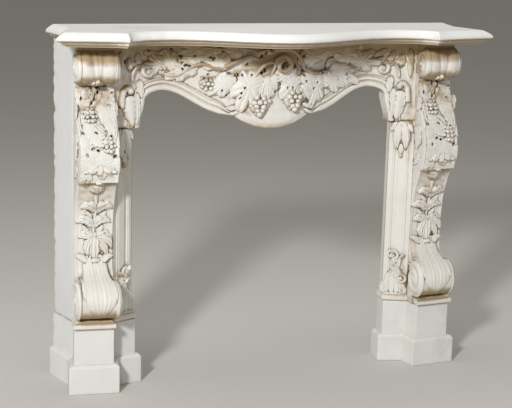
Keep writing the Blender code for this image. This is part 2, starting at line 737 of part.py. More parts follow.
def make_slip(side, name, material):
    """Build one slip with its husk, foot leaves and base moulding."""
    plan = slip_plan(side)
    bm = bmesh.new()
    top = JOINT_HEIGHT - JOINT_GAP
    loft(bm, [[at(x, d, z) for x, d in plan] for z in (JAMB_BOTTOM, top)])
    item = finish(name, bm, parts, material)
    relief = bmesh.new()
    surface = slip_surface(side)
    middle = SLIP_INNER + SLIP_WIDTH * 0.42
    tall = top - JAMB_BOTTOM
    leaf(relief, surface, (side * middle * 0.985, top - 0.004), 270, 0.16 * tall, 0.030)
    grape(relief, surface(side * middle * 0.985, top - 0.158 * tall, 0.002), 0.0075)
    for across, heading, length in ((0.22, 104, 0.13), (0.50, 84, 0.20), (0.79, 94, 0.11)):
        x = side * (SLIP_INNER + SLIP_WIDTH * across)
        turned = heading if side > 0 else 180 - heading
        leaf(relief, surface, (x, MOULDING_TOP - 0.004), turned, length * tall, 0.021)
    face = slip_face(SLIP_OUTER) + MOULDING_PROJECTION
    edge = SLIP_EDGE_DEPTH + MOULDING_PROJECTION * 2
    toe = SLIP_INNER - SLIP_TOE * 1.5
    base = [(side * (toe + SLIP_REVEAL), SLIP_EDGE_DEPTH - SLIP_THICKNESS), (side * toe, edge),
            (side * SLIP_OUTER, face), (side * SLIP_OUTER, SLIP_JAMB_DEPTH - SLIP_THICKNESS)]
    moulded(relief, base, (True, True, False, False))
    carve(item, relief, name + "_relief")
    return item


# Side panels and plinths

def panel_line(share):
    """Return x and d along the outer face of a side panel, 0 at the wall and 1 in front."""
    return (JAMB_OUTER + PANEL_FLARE * (1 - share), PANEL_DEPTH * share)


def prism(name, plan, bottom, top, side, material):
    """Raise a plan to a straight piece."""
    bm = bmesh.new()
    loft(bm, [[at(side * x, d, z) for x, d in plan] for z in (bottom, top)])
    return finish(name, bm, parts, material)


def make_side_panel(side, name, material):
    """Build the plain slab that closes the side of the mantel."""
    back, front = panel_line(0), panel_line(1)
    plan = [back, front, (front[0] - PANEL_THICKNESS, front[1]), (back[0] - PANEL_THICKNESS, back[1])]
    return prism(name, plan, JAMB_BOTTOM, STONE_TOP, side, material)


def plinth_rings(base, die, side):
    """Return the rings of a plinth: chamfered base block, then the die on it."""
    chamfer = [(0, base), (BASE_HEIGHT - BASE_CHAMFER, base)]
    rings = [[at(side * p[0], p[1], z) for p in plan] for z, plan in chamfer]
    mid = [Vector(b).lerp(Vector(d), BASE_CHAMFER / BASE_PROJECTION) for b, d in zip(base, die)]
    for plan, z in ((mid, BASE_HEIGHT), (die, BASE_HEIGHT + 0.001), (die, PLINTH_HEIGHT)):
        rings.append([at(side * p[0], p[1], z) for p in plan])
    return rings


def make_plinth(side, name, material):
    """Build the block under a jamb and its slip: a slab, stepped forward under the jamb."""
    inner = JAMB_INNER + DIE_INSET
    outer = JAMB_OUTER + DIE_INSET * 1.2
    toe = SLIP_INNER - SLIP_TOE
    slip_back = SLIP_EDGE_DEPTH - SLIP_THICKNESS
    tail = JAMB_INNER + TAIL_CLEARANCE
    back_x = JAMB_OUTER - PANEL_LAP
    die = [
        (toe + SLIP_REVEAL, slip_back), (toe, SLIP_EDGE_DEPTH + DIE_FRONT),
        (JAMB_INNER, SLIP_JAMB_DEPTH + SLIP_TOE), (inner, block_front(inner)),
        (outer, block_front(outer)), (outer - DIE_RETURN, PANEL_FACE_DEPTH),
        (back_x, PANEL_FACE_DEPTH), (back_x, JAMB_TAIL_DEPTH), (tail, JAMB_TAIL_DEPTH),
        (tail, slip_back),
    ]
    grow = BASE_PROJECTION
    outward = [grow] * 5 + [0] * 5
    base = [Vector(p) for p in offset_line(die, outward)]
    base[2] = Vector((die[2][0] - grow * 0.9, base[1].y + grow))
    bm = bmesh.new()
    loft(bm, plinth_rings(base, die, side))
    return finish(name, bm, parts, material)


def make_side_plinth(side, name, material):
    """Build the block under a side panel."""
    back, front = panel_line(0), panel_line(1)
    inner_front = JAMB_OUTER - PANEL_LAP + JOINT_GAP
    inner_back = back[0] - PANEL_THICKNESS - TAIL_CLEARANCE
    die = [(back[0] + 0.005, 0), (front[0] + 0.001, front[1]), (inner_front, front[1]), (inner_back, 0)]
    base = [(p[0], p[1]) for p in offset_line(die, (BASE_PROJECTION * 0.7, 0, 0, 0))]
    bm = bmesh.new()
    loft(bm, plinth_rings(base, die, side))
    return finish(name, bm, parts, material)


def main():
    clear_scene()
    polished = stone("polished_shelf_marble", (0.83, 0.84, 0.82), 0.30)
    carved = stone("carved_ivory_marble", (0.82, 0.77, 0.69), 0.45)
    plain = stone("plain_white_marble", (0.80, 0.80, 0.79), 0.50)
    weathered = stone("plinth_marble", (0.78, 0.77, 0.73), 0.55)
    make_shelf(polished)
    make_frieze(carved)
    for side, word in ((-1, "left"), (1, "right")):
        make_jamb(side, f"jamb_{word}", carved)
        make_slip(side, f"slip_{word}", carved)
        make_side_panel(side, f"side_panel_{word}", plain)
        make_plinth(side, f"plinth_{word}", weathered)
        make_side_plinth(side, f"side_plinth_{word}", weathered)


main()
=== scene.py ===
"""Carved marble fireplace mantel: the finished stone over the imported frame.

Metres, +Z up, the front faces -Y and the wall is at +Y. Plans are written as (x, d), where d
is the distance out from the wall. The outlines repeat the ones that the solids were made from.
"""
import json
import math
import random

import bmesh
import bpy
from bpy.props import FloatProperty, FloatVectorProperty, IntProperty, PointerProperty
from bpy.types import Operator, Panel, PropertyGroup
from mathutils import Matrix, Vector, noise
from mathutils.bvhtree import BVHTree
from mathutils.kdtree import KDTree

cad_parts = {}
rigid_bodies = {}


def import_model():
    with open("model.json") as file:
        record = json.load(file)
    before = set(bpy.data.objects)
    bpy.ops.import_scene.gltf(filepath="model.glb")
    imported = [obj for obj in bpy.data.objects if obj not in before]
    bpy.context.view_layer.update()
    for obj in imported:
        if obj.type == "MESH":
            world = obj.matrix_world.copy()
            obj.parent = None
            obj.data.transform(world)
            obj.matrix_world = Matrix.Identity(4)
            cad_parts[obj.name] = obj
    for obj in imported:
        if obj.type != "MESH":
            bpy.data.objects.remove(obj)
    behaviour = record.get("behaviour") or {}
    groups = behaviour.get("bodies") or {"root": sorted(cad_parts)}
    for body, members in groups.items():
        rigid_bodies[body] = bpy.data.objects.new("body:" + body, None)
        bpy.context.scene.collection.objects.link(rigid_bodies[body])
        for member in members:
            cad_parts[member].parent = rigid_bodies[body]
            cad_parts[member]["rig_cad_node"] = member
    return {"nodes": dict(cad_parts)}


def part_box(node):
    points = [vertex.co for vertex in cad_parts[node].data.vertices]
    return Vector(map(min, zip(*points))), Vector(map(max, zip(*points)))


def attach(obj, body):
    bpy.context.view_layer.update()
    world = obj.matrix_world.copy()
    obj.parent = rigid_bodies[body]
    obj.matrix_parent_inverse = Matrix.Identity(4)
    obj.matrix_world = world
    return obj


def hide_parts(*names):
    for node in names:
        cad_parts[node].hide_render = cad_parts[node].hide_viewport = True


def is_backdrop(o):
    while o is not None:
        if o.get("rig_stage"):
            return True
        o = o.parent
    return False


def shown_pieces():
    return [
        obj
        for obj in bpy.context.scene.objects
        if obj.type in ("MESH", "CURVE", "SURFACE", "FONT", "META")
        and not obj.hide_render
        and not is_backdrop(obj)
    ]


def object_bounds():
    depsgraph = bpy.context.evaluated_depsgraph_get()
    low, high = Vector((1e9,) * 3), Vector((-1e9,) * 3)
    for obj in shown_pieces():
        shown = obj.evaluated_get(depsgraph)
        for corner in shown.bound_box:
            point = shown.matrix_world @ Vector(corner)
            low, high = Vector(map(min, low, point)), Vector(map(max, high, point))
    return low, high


bl_info = {
    "name": "Carved marble mantel",
    "version": (1, 0, 0),
    "blender": (4, 5, 0),
    "location": "3D View > Sidebar > Mantel",
    "description": "Builds the carved stones of a marble fireplace mantel",
    "category": "Add Mesh",
}

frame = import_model()
CAD_LOW, CAD_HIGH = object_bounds()

# Overall
WALL = CAD_HIGH.y
HEIGHT = CAD_HIGH.z
HALF_WIDTH = CAD_HIGH.x
DEPTH = CAD_HIGH.y - CAD_LOW.y
JOINT_GAP = 0.0003
SIDES = ((-1, "left"), (1, "right"))
MERGE = 0.00002

# Shelf
SHELF_THICKNESS = 0.042
SHELF_BOW = 0.125
SHELF_WAIST_X = 0.360
SHELF_RISE = 0.034
CORNER_STEP_X = 0.472
CORNER_STEP = 0.012
CORNER_FRONT = 0.312
CORNER_FALL = 0.041
CORNER_RETURN_DEPTH = 0.128
CORNER_RETURN_IN = 0.043
SHELF_BACK_IN = 0.020
NOSE_OVERHANG = 0.0245

# Jambs, slips and side panels
JAMB_WIDTH = 0.118
JAMB_INSET = 0.077
JAMB_BELLY = 0.229
JAMB_CANT = 0.105
JAMB_CAP = 0.0225
VOLUTE_RADIUS = 0.045
VOLUTE_CENTRE_DEPTH = 0.174
FOOT_RADIUS = 0.055
FOOT_CENTRE_DEPTH = 0.197
FOOT_LIFT = 0.007
PANEL_DEPTH = 0.127
SLIP_WIDTH = 0.068
SLIP_EDGE_DEPTH = 0.105
SLIP_JAMB_DEPTH = 0.150
SLIP_REVEAL = 0.004
SLIP_THICKNESS = 0.030
SLIP_TOE = 0.006
PLINTH_HEIGHT = 0.202
MOULDING_HEIGHT = 0.026
MOULDING_PROJECTION = 0.012
BLOCK_PROJECTION = 0.055
DIE_INSET = 0.010

# Frieze
FRIEZE_BACK = 0.080
FRIEZE_SIDE_DEPTH = 0.115
FRIEZE_BOW = 0.060
FRIEZE_END_DEPTH = 0.148
JOINT_HEIGHT = 0.800
LOBE_BOTTOM = 0.793
LOBE_RISE = 0.041
ARCH_RISE = 0.116
BAND_HEIGHT = 0.040
BAND_PROJECTION = 0.007

PANEL_CURVE = (
    (0.856, 0.630), (0.815, 0.660), (0.757, 0.770), (0.699, 0.900),
    (0.648, 0.985), (0.605, 1.000), (0.563, 0.978), (0.529, 0.940),
)
LEDGE_CURVE = ((0.5275, 0.936), (0.5255, 0.915), (0.5242, 0.880), (0.5236, 0.856))
LOWER_CURVE = (
    (0.523, 0.850), (0.477, 0.765), (0.430, 0.690), (0.383, 0.650),
    (0.325, 0.625), (0.266, 0.615), (0.208, 0.630), (0.170, 0.680),
)

FOOT_SWEEP = (
    (2.60, -0.99), (2.10, -0.86), (1.62, -0.52), (1.27, -0.04), (1.00, 0.40), (0.74, 0.73),
    (0.38, 0.97), (0.0, 1.03),
)

STONE_TOP = HEIGHT - SHELF_THICKNESS - JOINT_GAP
JAMB_OUTER = HALF_WIDTH - JAMB_INSET
JAMB_INNER = JAMB_OUTER - JAMB_WIDTH
JAMB_MIDDLE = (JAMB_OUTER + JAMB_INNER) / 2
JAMB_BOTTOM = PLINTH_HEIGHT + JOINT_GAP
JAMB_HEIGHT = STONE_TOP - JAMB_BOTTOM
FRIEZE_HALF = JAMB_INNER - JOINT_GAP
SLIP_INNER = FRIEZE_HALF - SLIP_WIDTH
KINK = 0.293 * SLIP_INNER
APEX = 0.793 * SLIP_INNER
ARCH_END = 0.925 * SLIP_INNER
MOULDING_TOP = PLINTH_HEIGHT + MOULDING_HEIGHT
VOLUTE_CENTRE_Z = STONE_TOP - JAMB_CAP - VOLUTE_RADIUS
FOOT_CENTRE_Z = MOULDING_TOP + FOOT_LIFT + FOOT_RADIUS
PANEL_FACE_DEPTH = PANEL_DEPTH + JOINT_GAP


# Making meshes

def at(x, d, z):
    """Return the point at x, d out from the wall and height z."""
    return Vector((x, WALL - d, z))


def mapped(bm, columns, rows, place):
    """Add a grid, move each corner to place(u, v) and merge the seams and poles."""
    verts = bmesh.ops.create_grid(bm, x_segments=columns, y_segments=rows, size=0.5)["verts"]
    for vert in verts:
        vert.co = place(vert.co.x + 0.5, vert.co.y + 0.5)
    bmesh.ops.remove_doubles(bm, verts=verts, dist=MERGE)


def skin(bm, rings, flat=False):
    """Stretch a grid over closed rings of points and close both ends, at their middles or flat."""
    middles = [sum(ring, Vector()) / len(ring) for ring in (rings[0], rings[-1])]
    count = len(rings[0])
    stations = rings if flat else [[middles[0]] * count, *rings, [middles[1]] * count]
    columns = len(stations) - 1

    def place(u, v):
        return stations[round(u * columns)][round(v * count) % count]

    mapped(bm, columns, count, place)
    if flat:
        bmesh.ops.holes_fill(bm, edges=bm.edges, sides=0)


def join(bm, maker, *values, **named):
    """Make a part in a small mesh of its own and add it, which keeps long work fast."""
    small = bmesh.new()
    maker(small, *values, **named)
    mesh = bpy.data.meshes.new("part")
    small.to_mesh(mesh)
    small.free()
    bm.from_mesh(mesh)
    bpy.data.meshes.remove(mesh)


def finish_piece(name, bm, material, node, sharp):
    """Make the mesh an object that rides on the mantel and stands for its solid."""
    bmesh.ops.recalc_face_normals(bm, faces=bm.faces)
    mesh = bpy.data.meshes.new(name)
    bm.to_mesh(mesh)
    bm.free()
    mesh.polygons.foreach_set("use_smooth", [True] * len(mesh.polygons))
    mesh.set_sharp_from_angle(angle=math.radians(sharp))
    mesh.materials.append(material)
    piece = bpy.data.objects.new(name, mesh)
    bpy.context.scene.collection.objects.link(piece)
    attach(piece, "root")
    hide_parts(node)
    return piece


def spline(points, steps):
    """Return points on a smooth curve through the given ones."""
    last = len(points) - 1
    result = []
    for i in range(last):
        p0, p1 = Vector(points[max(i - 1, 0)]), Vector(points[i])
        p2, p3 = Vector(points[i + 1]), Vector(points[min(i + 2, last)])
        for k in range(steps):
            t = k / steps
            result.append(0.5 * (2 * p1 + (p2 - p0) * t + (2 * p0 - 5 * p1 + 4 * p2 - p3) * t * t
                                 + (3 * p1 - p0 - 3 * p2 + p3) * t ** 3))
    result.append(Vector(points[-1]))
    return result


def value_on(points, key):
    """Interpolate the second value of points that are sorted by a falling first value."""
    low, high = 0, len(points) - 1
    if key >= points[0][0]:
        return points[0][1]
    if key <= points[-1][0]:
        return points[-1][1]
    while high - low > 1:
        middle = (low + high) // 2
        if points[middle][0] > key:
            low = middle
        else:
            high = middle
    (k0, v0), (k1, v1) = points[low], points[high]
    return v1 + (v0 - v1) * (key - k1) / max(k0 - k1, 1e-9)


def turned(heading, side):
    """Return a heading in degrees that is meant for the right side, mirrored for the left one."""
    return heading if side > 0 else 180 - heading


def smooth(value):
    """Ease a value between 0 and 1."""
    value = min(max(value, 0.0), 1.0)
    return value * value * (3 - 2 * value)


def bell(distance, reach):
    """Return 1 at no distance, falling smoothly to 0 past the reach."""
    return math.exp(-(distance / reach) ** 2)


def bow(x, half):
    """Return the serpentine swelling, 1 in the middle and 0 at the waist."""
    return 0.5 + 0.5 * math.cos(math.pi * min(abs(x), half) / half)


def offset_line(points, distances):
    """Move each edge of a closed plan outward by its own distance and mitre the corners."""
    count = len(points)
    area = sum(points[i][0] * points[(i + 1) % count][1] - points[(i + 1) % count][0] * points[i][1]
               for i in range(count))
    turn = 1 if area > 0 else -1
    normals = []
    for i in range(count):
        edge = Vector(points[(i + 1) % count]) - Vector(points[i])
        normals.append(Vector((edge.y, -edge.x)).normalized() * turn)
    moved = []
    for i in range(count):
        before, after = normals[i - 1], normals[i]
        s, t = distances[i - 1], distances[i]
        cross = before.x * after.y - before.y * after.x
        if abs(cross) < 0.08:
            moved.append(Vector(points[i]) + (before + after).normalized() * (s + t) / 2)
            continue
        moved.append(Vector(points[i]) + Vector(((s * after.y - t * before.y) / cross,
                                                 (t * before.x - s * after.x) / cross)))
    return moved


# Carving laid over a surface: surface(across, up, height) gives a point in space

STEM_SIDES = 8
STEM_STEPS = 7
CURL_STEPS = 30
LOBE_REACH = 0.62


def tube(bm, path, radius, taper):
    """Sweep a round section along a path of points, thinner at its end."""
    rings = []
    side = (path[1] - path[0]).orthogonal().normalized()
    last = len(path) - 1
    for i, point in enumerate(path):
        ahead = (path[min(i + 1, last)] - path[max(i - 1, 0)]).normalized()
        side = (side - ahead * side.dot(ahead)).normalized()
        other = ahead.cross(side)
        size = radius * (1 - taper * i / last)
        rings.append([point + (side * math.cos(a) + other * math.sin(a)) * size
                      for a in (2 * math.pi * k / STEM_SIDES for k in range(STEM_SIDES))])
    skin(bm, rings)


def stem(bm, surface, points, radius, height=0.012, taper=0.35):
    """Lay a tapering stem over a surface through a few (across, up) or (across, up, height)."""
    full = [(p[0], p[1], p[2] if len(p) > 2 else height) for p in points]
    join(bm, tube, [surface(*p) for p in spline(full, STEM_STEPS)], radius, taper)


def curl(bm, surface, centre, radius, thickness, turns=1.4, start=0.0, hand=1, rise=0.004,
         closing=0.80):
    """Lay a spiral curl on a surface, its inner end rising; a tight one ends in a bead."""
    path = []
    for i in range(CURL_STEPS + 1):
        t = i / CURL_STEPS
        angle = math.radians(start) + hand * 2 * math.pi * turns * t
        reach = radius * (1 - closing * t)
        path.append(surface(centre[0] + reach * math.cos(angle), centre[1] + reach * math.sin(angle),
                            rise + thickness * 0.8 * t))
    join(bm, tube, path, thickness, 0.30)
    if closing > 0.7:
        join(bm, bead, surface(*centre, rise + thickness * 0.6), thickness * 1.15)


def bead(bm, centre, radius, stretch=(1, 1, 1)):
    """Add one small round body."""
    place = Matrix.Translation(centre) @ Matrix.Diagonal((*stretch, 1))
    bmesh.ops.create_icosphere(bm, subdivisions=2, radius=radius, matrix=place)


def bunch(bm, surface, centre, width, height, rows, radius, seed):
    """Heap rows of grapes that narrow downward on a rounded core."""
    chance = random.Random(seed)
    core = surface(*centre, 0)
    stretch = Matrix.Diagonal((width * 0.42, radius * 1.7, height * 0.46, 1))
    bmesh.ops.create_uvsphere(bm, u_segments=16, v_segments=10, radius=1,
                              matrix=Matrix.Translation(core) @ stretch)
    for layer, (share_wide, out) in enumerate(((1.0, 0.55), (0.62, 1.55))):
        for row, count in enumerate(rows):
            count = max(round(count * share_wide), 1)
            z = centre[1] + height * (0.5 - (row + 0.5 + 0.35 * layer) / len(rows))
            for i in range(count):
                share = (i + 0.5) / count - 0.5
                x = centre[0] + share * width * share_wide * rows[row] / max(rows)
                lift = radius * (out + 0.55 * math.cos(math.pi * share) - 0.08 * row)
                size = radius * chance.uniform(0.90, 1.10)
                join(bm, bead, surface(x + chance.uniform(-0.12, 0.12) * radius,
                                       z + chance.uniform(-0.2, 0.2) * radius, lift), size)


def long_leaf(bm, surface, root, heading, length, width, rise, lobes=4, bend=0.0, hook=0.0,
              hook_share=0.3, tooth=0.32, sink=0.004, ribs=2.0, flute=0.20, waist=0.0):
    """Lay a ribbed leaf with toothed edges that may bend aside and hook over at its tip."""
    along, around = 5 * lobes + 2, 120 if ribs > 3 else 20
    spine = []
    point, height = Vector(root), 0.0
    for i in range(along + 1):
        t = i / along
        turn = math.radians(heading + bend * t)
        ahead = Vector((math.cos(turn), math.sin(turn)))
        pitch = math.radians(hook) * smooth((t - 1 + hook_share) / hook_share)
        spine.append((point.copy(), ahead, pitch, height))
        point += ahead * length / along * math.cos(pitch)
        height += length / along * math.sin(pitch)
    rings = []
    for i, (place, ahead, pitch, up) in enumerate(spine):
        t = i / along
        across = Vector((-ahead.y, ahead.x))
        envelope = min(t / 0.05 + 0.25, 1) * (0.62 + 0.38 * math.sin(math.pi * (t * 0.9 + 0.05)))
        envelope *= (1 - t ** 3.5) ** 0.7 * (1 - waist * bell(t - 0.25, 0.25))
        notch = 1 - tooth * (1 - (lobes * t) % 1) ** 1.5
        half = width / 2 * (envelope * notch + 0.03)
        ring = []
        for k in range(around):
            angle = 2 * math.pi * k / around
            s = math.cos(angle)
            if math.sin(angle) >= 0:
                crest = rise * (math.sin(angle) ** 0.85) * (0.72 + 0.28 * math.sin(math.pi * t))
                crest -= rise * 0.36 * bell(s, 0.17) * (1 - 0.8 * t)
                crest += rise * flute * math.cos(2 * math.pi * ribs * s) * (1 - s * s)
            else:
                crest = -sink * abs(math.sin(angle)) ** 0.5
            spot = place + across * half * s - ahead * math.sin(pitch) * crest
            ring.append(surface(spot.x, spot.y, up + math.cos(pitch) * crest))
        rings.append(ring)
    join(bm, skin, rings)


def long_leaves(bm, surface, rows, **shared):
    """Lay long leaves, each row being across, up and then the values of long_leaf in order."""
    for across, up, *values in rows:
        long_leaf(bm, surface, (across, up), *values, **shared)


def vine_leaf(bm, surface, root, heading, length, width, rise, seed, droop=0.40, sink=0.004):
    """Lay a five-lobed vine leaf, its veins cut in and its edges standing off the ground."""
    chance = random.Random(seed)
    turn = math.radians(heading)
    ahead = Vector((math.cos(turn), math.sin(turn)))
    across = Vector((-ahead.y, ahead.x))
    heart = Vector(root) + ahead * length * 0.32
    lobes = [(0.0, 1.0), (0.98, 0.92), (-0.98, 0.92), (1.98, 0.80), (-1.98, 0.80)]
    lobes = [(a + chance.uniform(-0.10, 0.10), r * chance.uniform(0.90, 1.08),
              chance.uniform(-0.4, 0.5)) for a, r in lobes]
    spokes, tops = 64, 7

    def place(u, v):
        phi = 2 * math.pi * u
        ring = round(v * (tops + 2))
        share = min(ring / tops, 1)
        best, tip, off = 0.68, 0.0, 1.0
        for angle, reach, lean in lobes:
            delta = abs((phi - angle + math.pi) % (2 * math.pi) - math.pi)
            if delta < LOBE_REACH:
                size = reach * math.cos(delta / LOBE_REACH * math.pi / 2) ** 0.36
                if size > best:
                    best, tip, off = size, lean, delta / LOBE_REACH
        teeth = 1 - 0.06 * (0.5 + 0.5 * math.cos(phi * 19)) * smooth(share * 2 - 1)
        reach = best * teeth * share
        spot = heart + ahead * math.cos(phi) * reach * length * 0.68
        spot += across * math.sin(phi) * reach * width * 0.55
        crest = rise * (1 - droop * share ** 2)
        crest += rise * 0.06 * math.sin(math.pi * min(off * 1.6, 1)) * smooth(share * 1.6)
        crest -= rise * 0.12 * smooth(off * 2 - 1) * smooth(share * 2 - 0.9)
        crest -= rise * 0.12 * bell(off * share, 0.10) * smooth(share * 4)
        crest += rise * 0.35 * tip * share ** 3
        if ring == tops + 1:
            crest = max(crest - 0.0035, -sink)
        if ring == tops + 2:
            spot, crest = heart, -sink
        return surface(spot.x, spot.y, crest)

    join(bm, mapped, spokes, tops + 2, place)


DRILL_TOP = 0.006
DRILL_AIM = -0.004
DRILL_ROOM = 0.008
DRILL_EDGE = 0.0012
DRILL_TURN = 2.4
DRILL_STRETCH = 0.40
DRILL_CORE = 0.64


def drill(bm, surface, holes, depth):
    """Drill small slanting holes: split the faces round each one and push them in.

    A hole is given by its place on the surface and its size; each slants another way.
    """
    spots = []
    for u, v, size in holes:
        centre = surface(u, v, DRILL_TOP)
        spots.append((centre, (surface(u, v, DRILL_AIM) - centre).normalized(), size))

    def near(reach):
        tree = KDTree(len(bm.verts))
        for i, vert in enumerate(bm.verts):
            tree.insert(vert.co, i)
        tree.balance()
        bm.verts.ensure_lookup_table()
        return [[bm.verts[i] for _, i, _ in tree.find_range(centre, size * reach + DRILL_ROOM)]
                for centre, _, size in spots]

    edges = dict.fromkeys(edge for group in near(1.5) for vert in group
                          for edge in vert.link_edges if edge.calc_length() > DRILL_EDGE)
    bmesh.ops.subdivide_edges(bm, edges=list(edges), cuts=1, use_grid_fill=True)
    for i, ((centre, inward, size), group) in enumerate(zip(spots, near(2.0))):
        slant = Vector((math.cos(i * DRILL_TURN), 0, math.sin(i * DRILL_TURN)))
        for vert in group:
            off = vert.co - centre
            off -= inward * off.dot(inward)
            aside = (off - slant * off.dot(slant) * DRILL_STRETCH).length
            if aside < size * 2:
                vert.co += inward * depth * math.exp(-(aside / (size * DRILL_CORE)) ** 4)


# Shelf

def shelf_nose(x):
    """Return how far the shelf's nose stands out from the wall at x."""
    beyond = max(abs(x) - SHELF_WAIST_X, 0) / (CORNER_STEP_X - SHELF_WAIST_X)
    return DEPTH - SHELF_BOW + SHELF_BOW * bow(x, SHELF_WAIST_X) + SHELF_RISE * beyond ** 2


SHELF_PLAN_STEPS = 56
BACK_POINTS = 40
TOP_MARGIN = 0.004
TIP_CLEARANCE = NOSE_OVERHANG * 1.9
STEP_TIGHTNESS = 0.70
STEP_REACH = 0.030
NOSE_CHIPS = 0.0012
SHELF_SECTION = (
    (0.98, 0.0), (0.90, 0.012), (0.80, 0.045), (0.55, 0.13), (0.30, 0.235), (0.12, 0.33),
    (0.03, 0.41), (0.0, 0.50), (0.04, 0.56), (0.13, 0.61), (0.27, 0.645), (0.44, 0.660),
    (0.50, 0.672), (0.52, 0.72), (0.56, 0.78), (0.66, 0.84), (0.80, 0.885), (0.92, 0.905),
    (0.95, 0.915), (1.0, 0.93), (1.0, 1.0),
)


def shelf_plan():
    """Return the closed nose line, starting at the back on the right.

    No point lies near the pointed tip of a corner, where the lines inside it would cross.
    """
    corners = [
        (HALF_WIDTH - SHELF_BACK_IN, 0),
        (HALF_WIDTH - CORNER_RETURN_IN, CORNER_RETURN_DEPTH),
        (HALF_WIDTH, CORNER_FRONT - CORNER_FALL),
        (CORNER_STEP_X + CORNER_STEP, CORNER_FRONT),
    ]
    right = []
    for start, end in zip(corners, corners[1:]):
        start, end = Vector(start), Vector(end)
        cuts = max(int((end - start).length / 0.012), 1)
        right += [start.lerp(end, k / cuts) for k in range(cuts)]
    right.append(Vector(corners[-1]))
    tip = Vector(corners[2])
    right = [p for p in right if not 0.0001 <= (p - tip).length <= TIP_CLEARANCE]
    for i in range(SHELF_PLAN_STEPS):
        x = CORNER_STEP_X * (1 - i / SHELF_PLAN_STEPS)
        right.append(Vector((x, shelf_nose(x))))
    left = [Vector((-p.x, p.y)) for p in reversed(right)]
    end = right[0].x
    back = [Vector((-end + 2 * end * k / BACK_POINTS, 0)) for k in range(1, BACK_POINTS)]
    return right + [Vector((0, shelf_nose(0)))] + left + back


def shelf_body(bm):
    """Sweep the moulded edge round the nose line; the wall edge stays flat.

    The edge is tighter at the corner steps, so that its inner lines don't cross there. The flat
    top and underside start a little inside the edge.
    """
    plan = shelf_plan()
    tight = [1 - STEP_TIGHTNESS * bell(abs(p.x) - CORNER_STEP_X - CORNER_STEP / 2, STEP_REACH)
             for p in plan[:-BACK_POINTS]]
    section = [(NOSE_OVERHANG * a, SHELF_THICKNESS * b) for a, b in SHELF_SECTION]
    flat = NOSE_OVERHANG + TOP_MARGIN
    rings = []
    for inset, below in [(flat, 0.0), *section, (flat, section[-1][1])]:
        margin = TOP_MARGIN if inset == flat else 0.0
        line = offset_line(plan, [-inset * share for share in tight] + [-margin] * BACK_POINTS)
        ring = []
        for i, p in enumerate(line):
            at_wall = i == 0 or i >= len(plan) - BACK_POINTS
            d = margin if at_wall else max(p[1], 0.0)
            chip = NOSE_CHIPS * max(noise.noise(Vector((p[0] * 30, d * 30, below * 60))) - 0.25, 0)
            ring.append(at(p[0] * (1 - chip), d * (1 - chip), HEIGHT - below))
        rings.append(ring)
    skin(bm, rings, flat=True)


# Frieze

def arch_edge(x):
    """Return the height of the frieze's lower edge between the arch ends."""
    x = abs(x)
    top = LOBE_BOTTOM + ARCH_RISE
    if x <= KINK:
        radius = (KINK ** 2 + LOBE_RISE ** 2) / (2 * LOBE_RISE)
        return LOBE_BOTTOM + radius - math.sqrt(radius ** 2 - x ** 2)
    if x <= APEX:
        t = ((x - KINK) / (APEX - KINK)) ** 1.15
        low = LOBE_BOTTOM + LOBE_RISE
        return low + (top - low) * (0.5 - 0.5 * math.cos(math.pi * t))
    t = min((x - APEX) / (ARCH_END - APEX), 1)
    return top - 0.026 * (1 - math.sqrt(1 - t * t))


def frieze_face(x):
    """Return how far the ground of the frieze stands out from the wall."""
    beyond = max(abs(x) - APEX, 0) / (FRIEZE_HALF - APEX)
    return (FRIEZE_SIDE_DEPTH - BAND_PROJECTION + FRIEZE_BOW * bow(x, APEX)
            + (FRIEZE_END_DEPTH - FRIEZE_SIDE_DEPTH) * beyond)


def on_frieze(x, z, height):
    """Return the point at a height above the frieze's ground."""
    slope = (frieze_face(x + 0.002) - frieze_face(x - 0.002)) / 0.004
    normal = Vector((-slope, 1)).normalized()
    return at(x + normal.x * height, frieze_face(x) + normal.y * height, z)


def frieze_edge():
    """Return (x, z) along the lower edge from the middle to the right end."""
    foot = SLIP_INNER - 0.015
    xs = [KINK * i / 26 for i in range(26)]
    xs += [KINK + (APEX - KINK) * i / 40 for i in range(41)]
    xs += [APEX + (ARCH_END - APEX) * math.sin(math.radians(step)) for step in range(8, 91, 9)]
    edge = [(x, arch_edge(x)) for x in xs]
    start = edge[-1]
    edge += [(start[0] + (foot - start[0]) * smooth(t / 6) * 0.98 + 0.0004 * t,
              start[1] + (JOINT_HEIGHT - start[1]) * t / 6) for t in range(1, 6)]
    edge.append((foot, JOINT_HEIGHT))
    edge += [(foot + (FRIEZE_HALF - foot) * t / 24, JOINT_HEIGHT) for t in range(1, 25)]
    return edge


